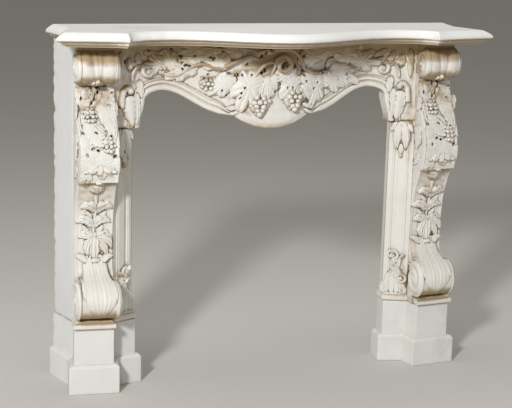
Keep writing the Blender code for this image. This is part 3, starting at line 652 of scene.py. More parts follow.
FRIEZE_HOLES = (
    (-0.238, 1.015, 0.0035), (-0.28, 1.013, 0.003), (-0.29, 1.001, 0.003), (-0.276, 0.994, 0.0035),
    (-0.265, 0.986, 0.0055), (-0.254, 0.984, 0.0045), (-0.274, 0.975, 0.0035),
    (-0.182, 1.007, 0.0055), (-0.192, 1.011, 0.004), (-0.308, 1.034, 0.003),
    (-0.456, 1.000, 0.004), (-0.383, 1.031, 0.003), (-0.198, 0.958, 0.003), (-0.21, 0.946, 0.003),
    (-0.089, 0.921, 0.0038), (-0.099, 0.905, 0.0035), (-0.103, 0.889, 0.0035),
    (-0.119, 0.958, 0.0035), (-0.11, 0.958, 0.0045), (-0.098, 0.959, 0.004),
    (-0.083, 0.991, 0.0035), (-0.07, 0.959, 0.0035), (-0.04, 0.966, 0.0055),
    (-0.028, 0.973, 0.006), (0.024, 0.991, 0.012), (0.07, 0.985, 0.0065), (0.099, 0.955, 0.004),
    (0.099, 0.967, 0.004), (0.097, 1.016, 0.005), (0.005, 0.907, 0.004), (0.015, 0.936, 0.0035),
    (0.043, 0.919, 0.004), (0.059, 0.918, 0.004), (0.059, 0.879, 0.0035), (0.165, 0.961, 0.005),
    (0.147, 0.931, 0.0045), (0.134, 0.913, 0.004), (-0.144, 0.896, 0.003), (-0.156, 0.911, 0.003),
    (-0.014, 1.037, 0.005), (-0.027, 1.028, 0.006), (-0.039, 1.016, 0.005), (-0.137, 0.963, 0.003),
    (0.107, 0.936, 0.004),
)


FRIEZE_ROWS = 74
FRIEZE_TOOLING = 0.0015
FRIEZE_LIP = 0.006
FRIEZE_WORN_EDGE = 0.003


def frieze_ground(bm):
    """Build the arched block with its serpentine face, worked a little uneven."""
    right = frieze_edge()
    edge = [(-x, z) for x, z in reversed(right[1:])] + right
    rings = []
    for x, low in edge:
        face = frieze_face(x)
        ring = []
        for k in range(FRIEZE_ROWS + 1):
            z = low + (STONE_TOP - low) * k / FRIEZE_ROWS
            inner = smooth((z - low - 0.004) / 0.012) * smooth((STONE_TOP - z) / 0.012)
            cut = FRIEZE_TOOLING * noise.noise(Vector((x * 60, 0, z * 60))) * inner
            if abs(x) < KINK:
                swell = math.cos(math.pi / 2 * x / KINK)
                cut += FRIEZE_LIP * bell(z - low - 0.022, 0.016) * swell ** 0.5 * inner
            cut -= FRIEZE_WORN_EDGE * (1 - smooth((z - low) / 0.004))
            ring.append(at(x, face + cut, z))
        deep = face - FRIEZE_BACK
        worn = face - FRIEZE_WORN_EDGE - FRIEZE_BACK
        ring += [at(x, FRIEZE_BACK + deep * t, STONE_TOP) for t in (0.75, 0.5, 0.25, 0)]
        ring += [at(x, FRIEZE_BACK, STONE_TOP + (low - STONE_TOP) * t) for t in (0.33, 0.67, 1)]
        ring += [at(x, FRIEZE_BACK + worn * t, low) for t in (0.25, 0.5, 0.75)]
        rings.append(ring)
    skin(bm, rings)


BAND_LEVELS = (
    (0.00, -0.004), (0.00, 0.003), (0.03, 0.0052), (0.09, 0.0070), (0.20, 0.0082), (0.31, 0.0080),
    (0.40, 0.0064), (0.44, 0.0040), (0.46, 0.0016), (0.50, 0.0008), (0.54, 0.0016), (0.56, 0.0052),
    (0.59, 0.0062), (0.68, 0.0062), (0.76, 0.0054), (0.79, 0.0024), (0.81, 0.0020), (0.84, 0.0044),
    (0.89, 0.0062), (0.94, 0.0058), (0.99, 0.0036), (1.00, -0.004),
)


def arch_band(bm, side):
    """Sweep the stepped moulding from the middle lobe over the arch and down to the joint."""
    path = [Vector(p) for p in frieze_edge() if KINK - 0.001 <= p[0] <= SLIP_INNER - 0.0149]
    last = len(path) - 1
    rings = []
    for i, point in enumerate(path):
        ahead = (path[min(i + 1, last)] - path[max(i - 1, 0)]).normalized()
        inward = Vector((1, 0)) if i == last else Vector((-ahead.y, ahead.x))
        taper = 0.35 + 0.65 * smooth(i / 9)
        ring = []
        for share, height in BAND_LEVELS:
            place = point + inward * share * BAND_HEIGHT * taper
            ring.append(on_frieze(side * place.x, max(place.y, JOINT_HEIGHT + 0.0005), height))
        rings.append(ring)
    skin(bm, rings)


VINE_LEAVES = (
    (-0.288, 0.995, 172, 0.058, 0.050), (-0.252, 0.992, 60, 0.058, 0.056),
    (-0.207, 1.018, 150, 0.066, 0.052), (-0.240, 0.990, 205, 0.070, 0.058),
    (-0.140, 0.992, 168, 0.066, 0.056), (-0.168, 1.030, 195, 0.050, 0.036),
    (-0.128, 0.948, 215, 0.066, 0.058), (-0.110, 1.012, 120, 0.046, 0.040),
    (-0.062, 0.962, 248, 0.112, 0.096), (-0.018, 0.952, 262, 0.058, 0.050),
    (0.062, 0.980, 216, 0.060, 0.052), (0.056, 0.958, 268, 0.070, 0.064),
    (0.012, 0.962, 236, 0.048, 0.040), (0.098, 0.925, 300, 0.040, 0.036),
    (0.092, 0.998, 22, 0.086, 0.054), (0.112, 0.966, 282, 0.072, 0.052),
    (0.158, 0.950, 250, 0.072, 0.052), (0.172, 0.945, 338, 0.060, 0.050),
    (0.196, 0.986, 330, 0.088, 0.058), (0.222, 0.992, 36, 0.074, 0.058),
    (0.160, 1.022, 10, 0.058, 0.036), (0.278, 0.998, 352, 0.070, 0.052),
    (-0.322, 0.992, 184, 0.058, 0.046), (0.236, 1.030, 8, 0.052, 0.034),
)
VINE_BUNCHES = (
    ((-0.044, 0.868), 0.078, 0.066, (4, 5, 4, 3, 2), 0.0088, 5),
    ((0.066, 0.882), 0.078, 0.066, (4, 5, 4, 3, 2), 0.0088, 6),
    ((-0.196, 0.934), 0.058, 0.040, (4, 5, 4), 0.0070, 7),
    ((-0.338, 0.975), 0.040, 0.026, (3, 2), 0.0062, 8),
    ((0.255, 0.955), 0.042, 0.030, (3, 2), 0.0062, 9),
)
VINE_STEMS = (
    (((-0.350, 0.965, 0.004), (-0.297, 0.955), (-0.255, 0.977), (-0.213, 0.990), (-0.176, 0.978),
      (-0.146, 0.978)), 0.0062),
    (((-0.147, 0.983), (-0.113, 1.001), (-0.075, 1.014), (-0.049, 1.005, 0.016)), 0.0074),
    (((-0.138, 0.957, 0.006), (-0.115, 0.960), (-0.091, 0.958, 0.008)), 0.0048),
    (((-0.063, 0.953, 0.010), (-0.042, 0.984, 0.018), (-0.020, 0.999, 0.020),
      (-0.001, 0.992, 0.018), (-0.014, 0.953, 0.008)), 0.0068),
    (((-0.052, 1.027, 0.012), (-0.003, 1.035, 0.016), (0.044, 1.035, 0.018), (0.069, 1.021, 0.018),
      (0.084, 0.999, 0.018), (0.095, 0.977, 0.016), (0.121, 0.965), (0.147, 0.961), (0.184, 0.968),
      (0.204, 0.990, 0.008)), 0.0066),
    (((0.204, 0.990, 0.008), (0.240, 0.986), (0.285, 0.972), (0.340, 0.975, 0.004)), 0.0046),
    (((-0.270, 1.036, 0.004), (-0.215, 1.040, 0.010), (-0.150, 1.036, 0.010),
      (-0.100, 1.040, 0.010), (-0.052, 1.027, 0.012)), 0.0042),
    (((0.064, 0.912, 0.012), (0.070, 0.925, 0.012), (0.080, 0.945, 0.010)), 0.0040),
    (((-0.040, 0.900, 0.012), (-0.036, 0.920, 0.013), (-0.020, 0.950, 0.010)), 0.0040),
)
VINE_RING = (0.024, 0.991)
FLOWER_HEART = (0.151, 0.883)


def frieze_vine(bm, deep):
    """Carve the leaves, bunches and stems, left to right, and the vine's ring."""
    for i, (x, z, heading, length, width) in enumerate(VINE_LEAVES):
        grown, high = (1.42, 0.9) if length < 0.1 else (1.12, 1.15)
        vine_leaf(bm, on_frieze, (x, z), heading, length * grown, width * grown, rise=deep * high,
                  seed=i + 3)
    for values in VINE_BUNCHES:
        join(bm, bunch, on_frieze, *values)
    for route, radius in VINE_STEMS:
        stem(bm, on_frieze, route, radius)
    curl(bm, on_frieze, VINE_RING, 0.0250, 0.0092, turns=1.25, start=175, hand=-1, rise=0.021,
         closing=0.45)


def frieze_leaves(bm, deep):
    """Carve the leaves at the kinks, the low leaves by the arch ends and the square flower."""
    for side in (-1, 1):
        long_leaves(bm, on_frieze, (
            (side * 0.098, 0.868, 270 + side * 62, 0.054, 0.022, deep * 0.8, 3, side * 30, 60),
            (side * 0.104, 0.852, 270 + side * 50, 0.040, 0.017, deep * 0.7, 3, side * 40),
            (side * 0.300, 0.968, 90 - side * 100, 0.050, 0.020, 0.007, 3, side * 20),
            (side * 0.318, 0.985, 90 - side * 74, 0.056, 0.024, 0.007, 3, -side * 24),
            (side * 0.312, 1.012, 90 - side * 66, 0.058, 0.022, 0.007, 3, -side * 40)))
    for angle in (45, 135, 225, 315):
        long_leaf(bm, on_frieze, FLOWER_HEART, angle, 0.021, 0.018, deep * 0.6, 1, tooth=0.1)
    join(bm, bead, on_frieze(*FLOWER_HEART, deep * 0.7), 0.0055)


def frieze_end(bm, side):
    """Carve the scroll, curl, shell and hanging leaves over one end of the frieze."""
    def route(*points):
        return [(side * x, z) for x, z in points]

    curl(bm, on_frieze, (side * 0.384, 0.969), 0.0205, 0.0086, 1.0, turned(80, side), -side,
         rise=0.005)
    stem(bm, on_frieze, route((0.398, 0.990), (0.420, 0.984), (0.434, 0.964), (0.436, 0.940)),
         0.0062, 0.008)
    stem(bm, on_frieze, route((0.468, 0.862), (0.467, 0.890), (0.463, 0.910), (0.452, 0.922),
                              (0.440, 0.917)), 0.0108, 0.004, taper=0.12)
    join(bm, bead, on_frieze(side * 0.440, 0.912, 0.006), 0.0110)
    rows = (
        (0.444, 1.012, 268, 0.044, 0.030, 0.014, 2, 0, 50),
        (0.470, 1.030, 276, 0.092, 0.024, 0.009, 4, -10),
        (0.420, 1.024, 250, 0.052, 0.026, 0.010, 3, -30),
        (0.443, 0.898, 264, 0.094, 0.054, 0.015, 4, 0, 0, 0.3, 0.22, 0.004, 2.5),
        (0.421, 0.905, 266, 0.098, 0.030, 0.013, 4, 8 * side, 40),
        (0.412, 0.945, 262, 0.060, 0.030, 0.012, 3, 0, 40),
        (0.398, 1.026, 196, 0.050, 0.024, 0.007, 3, 30),
        (0.440, 0.992, 188, 0.048, 0.022, 0.007, 3, 24),
        (0.352, 0.985, 20, 0.040, 0.020, 0.008, 2, 30),
    )
    long_leaves(bm, on_frieze, [(side * x, z, turned(heading, side), *more)
                                for x, z, heading, *more in rows])


# Jambs

def jamb_profile():
    """Return (z, d) down the front of a jamb, from the shelf to the base moulding."""
    behind = PANEL_CURVE[0][1] * JAMB_BELLY
    profile = [(STONE_TOP, VOLUTE_CENTRE_DEPTH), (STONE_TOP - JAMB_CAP * 0.85, VOLUTE_CENTRE_DEPTH)]
    for step in range(84, -81, -6):
        a = math.radians(step)
        profile.append((VOLUTE_CENTRE_Z + VOLUTE_RADIUS * math.sin(a),
                        VOLUTE_CENTRE_DEPTH + VOLUTE_RADIUS * math.cos(a)))
    profile.append((VOLUTE_CENTRE_Z - VOLUTE_RADIUS * 1.06, behind * 1.02))
    for curve in (PANEL_CURVE, LEDGE_CURVE, LOWER_CURVE):
        profile += [(JAMB_BOTTOM + p.x * JAMB_HEIGHT, p.y * JAMB_BELLY) for p in spline(curve, 5)]
    for step in range(128, -91, -8):
        a = math.radians(step)
        profile.append((FOOT_CENTRE_Z + FOOT_RADIUS * math.sin(a),
                        FOOT_CENTRE_DEPTH + FOOT_RADIUS * math.cos(a)))
    profile.append((MOULDING_TOP - 0.004, FOOT_CENTRE_DEPTH - FOOT_RADIUS * 0.3))
    return sorted(profile, reverse=True)


JAMB_FRONT = jamb_profile()


def on_jamb(side):
    """Return a surface over a jamb's front: offset across, height, height above the stone."""
    def point(a, z, height):
        above = value_on(JAMB_FRONT, z + 0.010)
        slope = (above - value_on(JAMB_FRONT, z - 0.010)) / 0.020
        slope = max(min(slope, 1.0), -1.0)
        normal = Vector((1, -slope)).normalized()
        d = value_on(JAMB_FRONT, z) - JAMB_CANT * side * a
        return at(side * JAMB_MIDDLE + a, d + normal.x * height, z + normal.y * height)
    return point


JAMB_HOLES = (
    (0.006, 0.929, 0.006), (0.009, 0.914, 0.005), (-0.002, 0.895, 0.005), (-0.011, 0.883, 0.005),
    (0.052, 0.911, 0.004), (-0.006, 0.8, 0.005), (0.023, 0.802, 0.006), (0.036, 0.79, 0.005),
    (-0.019, 0.757, 0.006), (-0.004, 0.752, 0.005), (-0.036, 0.739, 0.005), (-0.04, 0.895, 0.005),
    (0.044, 0.735, 0.005), (0.04, 0.875, 0.005), (-0.044, 0.8, 0.005),
)


def barrel(a, z):
    """Return the swelling across the top volute: two side rolls, a waist and two middle ribs."""
    share = smooth((z - VOLUTE_CENTRE_Z + VOLUTE_RADIUS * 1.02) / 0.006)
    share *= smooth((STONE_TOP - JAMB_CAP * 0.9 - z) / 0.008)
    lean = 0.010 * smooth((VOLUTE_CENTRE_Z + VOLUTE_RADIUS - z) / (VOLUTE_RADIUS * 2))
    rolls = 0.0044 * math.exp(-((abs(a) - 0.034) / 0.018) ** 2)
    waist = -0.0026 * math.exp(-((abs(a) - 0.018 + lean) / 0.0060) ** 2)
    ribs = 0.0020 * bell(abs(a) - 0.0050, 0.0036)
    seam = -0.0010 * bell(abs(a) - 0.046, 0.0030)
    return share * (rolls + waist + ribs + seam)


JAMB_CELL = 0.0036
JAMB_TOOLING = 0.0012
JAMB_BORDER = 0.0022
JAMB_BACK = 0.030


def jamb_body(bm, side, edge):
    """Build the block of a jamb with rounded edges, its uneven ground and the volute's swelling."""
    zs = [MOULDING_TOP - 0.004]
    for z, _ in reversed(JAMB_FRONT):
        steps = max(int((z - zs[-1]) / JAMB_CELL), 0)
        zs += [zs[-1] + (z - zs[-1]) * (k + 1) / (steps + 1) for k in range(steps)]
        if z - zs[-1] > 0.0004:
            zs.append(z)
    zs = [JAMB_BOTTOM, MOULDING_TOP - 0.006] + zs
    half = JAMB_WIDTH / 2
    front = [-1 + 2 * k / 40 for k in range(41)]
    rings = []
    for z in zs:
        d0 = value_on(JAMB_FRONT, z)
        below = value_on(JAMB_FRONT, z - 0.004)
        slope = (value_on(JAMB_FRONT, z + 0.004) - below) / 0.008
        ring = []
        for share in front:
            a = share * half * side
            round_in = max(abs(share) * half - (half - edge), 0) / edge
            d = d0 - JAMB_CANT * side * a - edge * (1 - math.sqrt(max(1 - round_in ** 2, 0)))
            swell = barrel(a, z)
            radial = Vector((d0 - VOLUTE_CENTRE_DEPTH, z - VOLUTE_CENTRE_Z)).normalized()
            d += swell * max(radial.x, 0)
            if JAMB_BOTTOM + 0.17 * JAMB_HEIGHT < z < VOLUTE_CENTRE_Z - VOLUTE_RADIUS * 1.1:
                inner = smooth((half - abs(a) - 0.004) / 0.008)
                d += JAMB_TOOLING * noise.noise(Vector((a * 70, side, z * 70))) * inner
                d += JAMB_BORDER * bell(half - abs(a) - 0.004, 0.004)
            d += 0.0006 * slope
            ring.append(at(side * JAMB_MIDDLE + a, d, z + swell * radial.y))
        d = ring[-1].y
        for k in range(1, 7):
            across = JAMB_OUTER if k < 6 else JAMB_OUTER - 0.0005
            ring.append(Vector((side * across, d + (WALL - PANEL_FACE_DEPTH - d) * (k / 6), z)))
        outer = side * (JAMB_OUTER - 0.0195 - 0.004)
        inner_x = side * (JAMB_INNER + 0.004)
        ring += [at(outer, PANEL_FACE_DEPTH, z), at(outer, JAMB_BACK, z),
                 at(inner_x, JAMB_BACK, z), at(inner_x, PANEL_FACE_DEPTH, z)]
        first = ring[0].y
        for k in range(6):
            ring.append(Vector((side * JAMB_INNER, WALL - PANEL_FACE_DEPTH
                                + (first - WALL + PANEL_FACE_DEPTH) * k / 6, z)))
        rings.append(ring)
    skin(bm, rings)


COIL_SPOKES = 44
COIL_SHARES = (0.02, 0.08, 0.14, 0.20, 0.25, 0.32, 0.40, 0.48, 0.56, 0.64, 0.72, 0.80, 0.88, 0.94,
               1.0)
COIL_RIDGE = 0.0060
COIL_EYE = 0.0074
COIL_EYE_SHARE = 0.26
COIL_RIM = 0.0030
COIL_BELLY = 0.0016


def cheek(bm, side, start, end, centre, radius, turns, hand, dome, clear=0.0):
    """Add the coiled end of a scroll: a domed disc on a crosswise axis with a spiral on both faces.

    Nearer the wall than clear, it stays on the jamb's side of the joint with its neighbour.
    """
    middle = (start + end) / 2
    depth = centre[0] - JAMB_CANT * (middle - JAMB_WIDTH / 2)

    def coil(share, angle):
        wave = (angle / (2 * math.pi) * hand - turns * (1 - share)) % 1.0
        ridge = smooth(wave / 0.55) * (1 - smooth((wave - 0.62) / 0.30))
        eye = smooth((COIL_EYE_SHARE - share) / 0.06)
        return (COIL_RIDGE * ridge * (1 - eye) * smooth((1 - share) / 0.08)
                + COIL_EYE * eye * math.sqrt(max(1 - (share / COIL_EYE_SHARE) ** 2, 0)))

    rings = []
    rim = dome + COIL_RIM
    stations = [(share, start, -1) for share in COIL_SHARES]
    stations += [(1.0, start + rim + (end - start - 2 * rim) * t, 0)
                 for t in (0.08, 0.3, 0.5, 0.7, 0.92)]
    stations += [(share, end, 1) for share in reversed(COIL_SHARES)]
    for share, across, face in stations:
        ring = []
        for k in range(COIL_SPOKES):
            angle = 2 * math.pi * k / COIL_SPOKES
            reach = radius * share
            if face == 0:
                reach += COIL_BELLY * math.sin(math.pi * (across - start) / (end - start))
            raised = coil(share, angle if side > 0 else math.pi - angle) - rim
            out = across + face * (raised + dome * math.sqrt(1 - share * share))
            d = max(depth + reach * math.cos(angle), PANEL_FACE_DEPTH + 0.0004)
            if out < JOINT_GAP:
                out = JOINT_GAP + (out - JOINT_GAP) * smooth((d - clear) / 0.008)
            ring.append(at(side * (JAMB_INNER + out), d, centre[1] + reach * math.sin(angle)))
        rings.append(ring)
    skin(bm, rings)


def jamb_scrolls(bm, side):
    """Add the coiled ends of the top volute and of the foot scroll."""
    top = (VOLUTE_CENTRE_DEPTH, VOLUTE_CENTRE_Z)
    foot = (FOOT_CENTRE_DEPTH, FOOT_CENTRE_Z)
    volute, coil = VOLUTE_RADIUS + 0.0018, FOOT_RADIUS + 0.0030
    join(bm, cheek, side, -0.0070, 0.021, top, volute, 2.2, 1, 0.009, clear=FRIEZE_END_DEPTH + 0.004)
    join(bm, cheek, side, JAMB_WIDTH - 0.021, JAMB_WIDTH + 0.0065, top, volute, 2.2, 1, 0.009)
    join(bm, cheek, side, -0.0050, 0.015, foot, coil, 2.0, -1, 0.005, clear=SLIP_JAMB_DEPTH + 0.010)
    join(bm, cheek, side, JAMB_WIDTH - 0.008, JAMB_WIDTH + 0.0095, foot, coil, 2.0, -1, 0.005)


def sweep_profile():
    """Return (z, d) down the leaf that sweeps from the neck over the foot scroll."""
    points = spline([(up, out, 0) for up, out in FOOT_SWEEP], 6)
    turns = [math.radians(-6 * k) for k in range(1, 15)]
    points += [Vector((math.sin(a), math.cos(a), 0)) for a in turns]
    return [(FOOT_CENTRE_Z + p.x * FOOT_RADIUS, FOOT_CENTRE_DEPTH + p.y * FOOT_RADIUS)
            for p in points]


SWEEP_FRONT = sweep_profile()


def on_sweep(side):
    """Return a surface over the foot leaf; below it, the point lies in the block's own front."""
    block = on_jamb(side)

    def point(a, z, height):
        if height < 0:
            return block(a, z, height)
        d = value_on(SWEEP_FRONT, z) - JAMB_CANT * side * a + height
        return at(side * JAMB_MIDDLE + a, d, z)
    return point


def on_side(side, outward):
    """Return a surface over a jamb's outer or inner side: depth, height, height above."""
    def point(d, z, height):
        across = JAMB_OUTER + height if outward else JAMB_INNER - height
        return at(side * across, d, z)
    return point


def jamb_sides(bm, side):
    """Carve the leaves that wrap from the panel round both sides of the jamb."""
    for outward in (True, False):
        surface = on_side(side, outward)
        vine_leaf(bm, surface, (0.182, 0.785), 262, 0.074, 0.060, rise=0.0070, seed=71, sink=0.003)
        vine_leaf(bm, surface, (0.176, 0.880), 255, 0.050, 0.040, rise=0.0045, seed=72, sink=0.003)
        long_leaf(bm, surface, (0.190, 0.700), 240, 0.060, 0.026, 0.0045, 3, -30, sink=0.003)


JAMB_LEAVES = (
    (0.024, 0.935, 330, 0.044, 0.036), (-0.022, 0.928, 215, 0.046, 0.038),
    (0.034, 0.905, 280, 0.044, 0.036), (-0.030, 0.902, 250, 0.046, 0.036),
    (0.016, 0.880, 300, 0.058, 0.050), (-0.040, 0.872, 268, 0.036, 0.028),
    (0.034, 0.838, 285, 0.046, 0.036), (-0.030, 0.822, 300, 0.050, 0.042),
    (-0.042, 0.790, 260, 0.044, 0.032), (0.006, 0.815, 250, 0.040, 0.036),
    (0.040, 0.800, 300, 0.036, 0.030), (-0.020, 0.758, 240, 0.044, 0.040),
    (0.010, 0.742, 265, 0.056, 0.052), (-0.016, 0.722, 210, 0.044, 0.036),
    (0.040, 0.722, 320, 0.034, 0.028), (-0.034, 0.700, 250, 0.034, 0.030),
)
JAMB_STEMS = (
    (((0.000, 0.935, 0.006), (-0.006, 0.905), (-0.014, 0.880, 0.010)), 0.0034),
    (((-0.010, 0.822, 0.008), (0.006, 0.806, 0.012), (0.020, 0.794, 0.010)), 0.0034),
    (((0.050, 0.830, 0.006), (0.052, 0.800, 0.008), (0.044, 0.770, 0.006)), 0.0030),
    (((-0.050, 0.860, 0.006), (-0.052, 0.830, 0.008), (-0.048, 0.800, 0.006)), 0.0030),
)


def jamb_carving(bm, side, deep):
    """Carve the panel of grapes, the flower, the husks and the leaf over the foot."""
    surface = on_jamb(side)
    low = VOLUTE_CENTRE_Z - VOLUTE_RADIUS
    edge = JAMB_WIDTH / 2 - 0.0015

    def within(a, z, height):
        return surface(min(max(a, -edge), edge), z, height)

    for hand in (-1, 1):
        long_leaves(bm, surface, (
            (hand * 0.030, low + 0.002, 270 - hand * 8, 0.058, 0.030, 0.010, 3, hand * 22),
            (hand * 0.008, low + 0.006, 270 + hand * 20, 0.040, 0.018, 0.014, 2, hand * 24)),
            sink=0.008)
    long_leaf(bm, surface, (0.001, low + 0.012), 270, 0.054, 0.024, 0.018, 2, hook=30, sink=0.008)
    for i, (a, z, heading, length, width) in enumerate(JAMB_LEAVES):
        vine_leaf(bm, within, (a, z), heading, length * 1.45, width * 1.55, rise=deep * 0.62,
                  seed=40 + i, droop=0.25)
    join(bm, bunch, surface, (-0.020, 0.850), 0.050, 0.044, (3, 4, 4, 3), 0.0064, 12)
    join(bm, bunch, surface, (0.026, 0.770), 0.046, 0.044, (3, 4, 4, 3), 0.0062, 13)
    for route, radius in JAMB_STEMS:
        stem(bm, surface, route, radius)
    for hand in (-1, 1):
        long_leaf(bm, surface, (hand * 0.006, 0.706), 270 + hand * 50, 0.050, 0.026, deep * 1.2, 2,
                  hand * 44, 105, 0.45)
    long_leaf(bm, surface, (0.0, 0.712), 270, 0.042, 0.026, deep * 1.3, 2, hook=85)
    jamb_flower(bm, surface)
    jamb_husks(bm, within, deep)
    jamb_foot(bm, surface, on_sweep(side), deep)


def jamb_flower(bm, surface):
    """Carve the round flower under the ledge: a domed disc with six soft petals and a button."""
    heart, radius, dome = (0.0, 0.634), 0.0245, 0.0135

    def place(u, v):
        angle = 2 * math.pi * u
        share = min(v * 1.15, 1.0)
        cleft = bell(math.sin(3 * angle), 0.22) * smooth(share * 2 - 0.5)
        reach = radius * share * (1 - 0.10 * cleft)
        height = dome * math.cos(share * math.pi / 2) ** 0.6 - 0.0026 * cleft
        height -= 0.004 * bell(share, 0.22)
        if v > 0.88:
            height = -0.003
            reach *= v < 0.97
        return surface(heart[0] + reach * math.cos(angle), heart[1] + reach * math.sin(angle), height)

    join(bm, mapped, 48, 16, place)
    join(bm, bead, surface(*heart, dome * 0.78), 0.0052)


def jamb_husks(bm, surface, deep):
    """Carve the husks that open one above the other below the flower, their tips curling down."""
    stem(bm, surface, [(0.0, 0.612, 0.002), (0.003, 0.560), (-0.002, 0.510), (0.0, 0.470, 0.002)],
         0.0060, 0.002)
    for z, reach, lean in ((0.586, 0.062, 0.004), (0.538, 0.068, -0.004), (0.490, 0.066, 0.002)):
        for hand in (-1, 1):
            long_leaf(bm, surface, (lean, z - 0.034), 90 - hand * 12, reach, 0.040, deep * 0.95, 4,
                      -hand * 128, tooth=0.36, ribs=1.5)
            long_leaf(bm, surface, (lean + hand * 0.004, z - 0.022), 90 - hand * 10, reach * 0.60,
                      0.022, deep * 1.2, 3, -hand * 96, tooth=0.30)
            long_leaf(bm, surface, (lean + hand * 0.012, z - 0.050), 90 - hand * 50, reach * 0.46,
                      0.020, deep * 0.7, 2, hand * 30, tooth=0.30)
    long_leaf(bm, surface, (-0.010, 0.462), 48, 0.088, 0.040, deep * 1.25, 4, -150, tooth=0.34,
              ribs=1.5)


def jamb_foot(bm, surface, sweep, deep):
    """Carve the leaf that hangs and curls over, and the fluted leaf that wraps the foot scroll."""
    long_leaves(bm, surface, (
        (-0.004, 0.472, 236, 0.062, 0.034, deep * 1.3, 3, 46),
        (0.004, 0.472, 322, 0.070, 0.034, deep * 1.3, 3, -46),
        (0.002, 0.478, 264, 0.080, 0.044, deep * 1.7, 3, 14)), tooth=0.26, ribs=1.5)
    bead(bm, surface(0.003, 0.402, 0.011), 0.0105, stretch=(1.7, 1.0, 0.8))
    long_leaf(bm, sweep, (0.0, 0.424), 270, 0.190, 0.114, 0.0055, tooth=0.04, ribs=3.5, flute=0.13,
              waist=0.34)
    for hand in (-1, 1):
        long_leaf(bm, sweep, (hand * 0.026, 0.398), 90 - hand * 22, 0.040, 0.022, deep * 0.9, 2,
                  -hand * 90, 14, tooth=0.10)
        long_leaf(bm, sweep, (hand * 0.042, 0.352), 270 + hand * 14, 0.050, 0.014, deep * 0.5, 2,
                  -hand * 20, tooth=0.12)


def block_front(x):
    """Return how far the face of a plinth block stands out from the wall."""
    return SLIP_JAMB_DEPTH + BLOCK_PROJECTION - JAMB_CANT * (abs(x) - JAMB_MIDDLE)


def moulding(bm, plan, reach):
    """Sweep the rounded base moulding over a plan whose marked edges stand out."""
    levels = [(0.0, -0.30), (0.06, -0.12), (0.14, -0.02), (0.28, 0.0), (0.45, 0.0), (0.58, -0.04),
              (0.68, -0.16), (0.75, -0.38), (0.78, -0.60), (0.80, -0.66), (0.90, -0.70), (1.0, -0.95)]
    rings = []
    for share, inset in levels:
        distances = [inset * MOULDING_PROJECTION if out else 0 for out in reach]
        z = JAMB_BOTTOM + share * (MOULDING_TOP - JAMB_BOTTOM)
        line = offset_line(plan, distances)
        ring = []
        for i, p in enumerate(line):
            q = line[(i + 1) % len(line)]
            ring += [at(*Vector(p).lerp(Vector(q), t), z)
                     for t in (0, 0.04, 0.2, 0.4, 0.6, 0.8, 0.96)]
        rings.append(ring)
    skin(bm, rings)


def jamb_moulding(bm, side):
    """Add the half-round moulding that the foot scroll stands on."""
    inner = JAMB_INNER + DIE_INSET * 0.7
    outer = JAMB_OUTER + DIE_INSET * 1.65
    plan = [(side * inner, PANEL_FACE_DEPTH),
            (side * inner, block_front(inner) + MOULDING_PROJECTION),
            (side * outer, block_front(outer) + MOULDING_PROJECTION),
            (side * (outer - 0.010), PANEL_FACE_DEPTH)]
    moulding(bm, plan, (True, True, True, False))


# Slips

def slip_face(x):
    """Return how far a slip's splayed face stands out from the wall."""
    return SLIP_EDGE_DEPTH + (SLIP_JAMB_DEPTH - SLIP_EDGE_DEPTH) * (abs(x) - SLIP_INNER) / SLIP_WIDTH


def on_slip(side):
    """Return a surface over a slip's face."""
    normal = Vector((-(SLIP_JAMB_DEPTH - SLIP_EDGE_DEPTH) / SLIP_WIDTH * side, 1)).normalized()

    def point(x, z, height):
        return at(x + normal.x * height, slip_face(x) + normal.y * height, z)
    return point


SLIP_ROWS = 60
GROOVES = ((0.33, 0.075), (0.86, 0.065))
GROOVE_DEPTH = 0.0052
SLIP_WORN_EDGE = 0.003


def slip_body(bm, side):
    """Raise the slip's plan with its two grooves and the rounded edge of the opening."""
    inner, wide = SLIP_INNER, SLIP_WIDTH
    plan = [(inner + SLIP_REVEAL * (1 - t), SLIP_EDGE_DEPTH - SLIP_THICKNESS * (1 - t))
            for t in (0, 0.25, 0.5, 0.75, 0.92)]
    for k in range(35):
        share = k / 34
        deep = 0.0
        for middle, reach in GROOVES:
            off = abs(share - middle) / reach
            if off < 1:
                deep += GROOVE_DEPTH * (1 - off ** 2)
        deep += 0.0022 * bell(share - 0.21, 0.012) + 0.0020 * bell(share - 0.74, 0.012)
        deep += SLIP_WORN_EDGE * (1 - smooth(share / 0.05))
        x = inner + wide * share
        plan.append((min(x, inner + wide), slip_face(x) - deep))
    plan += [(inner + wide, SLIP_JAMB_DEPTH - SLIP_THICKNESS * t) for t in (0.33, 0.67, 1)]
    top = JOINT_HEIGHT - JOINT_GAP
    rings = []
    for k in range(SLIP_ROWS + 1):
        z = JAMB_BOTTOM + (top - JAMB_BOTTOM) * k / SLIP_ROWS
        rings.append([at(side * x, d, z) for x, d in plan])
    skin(bm, rings)


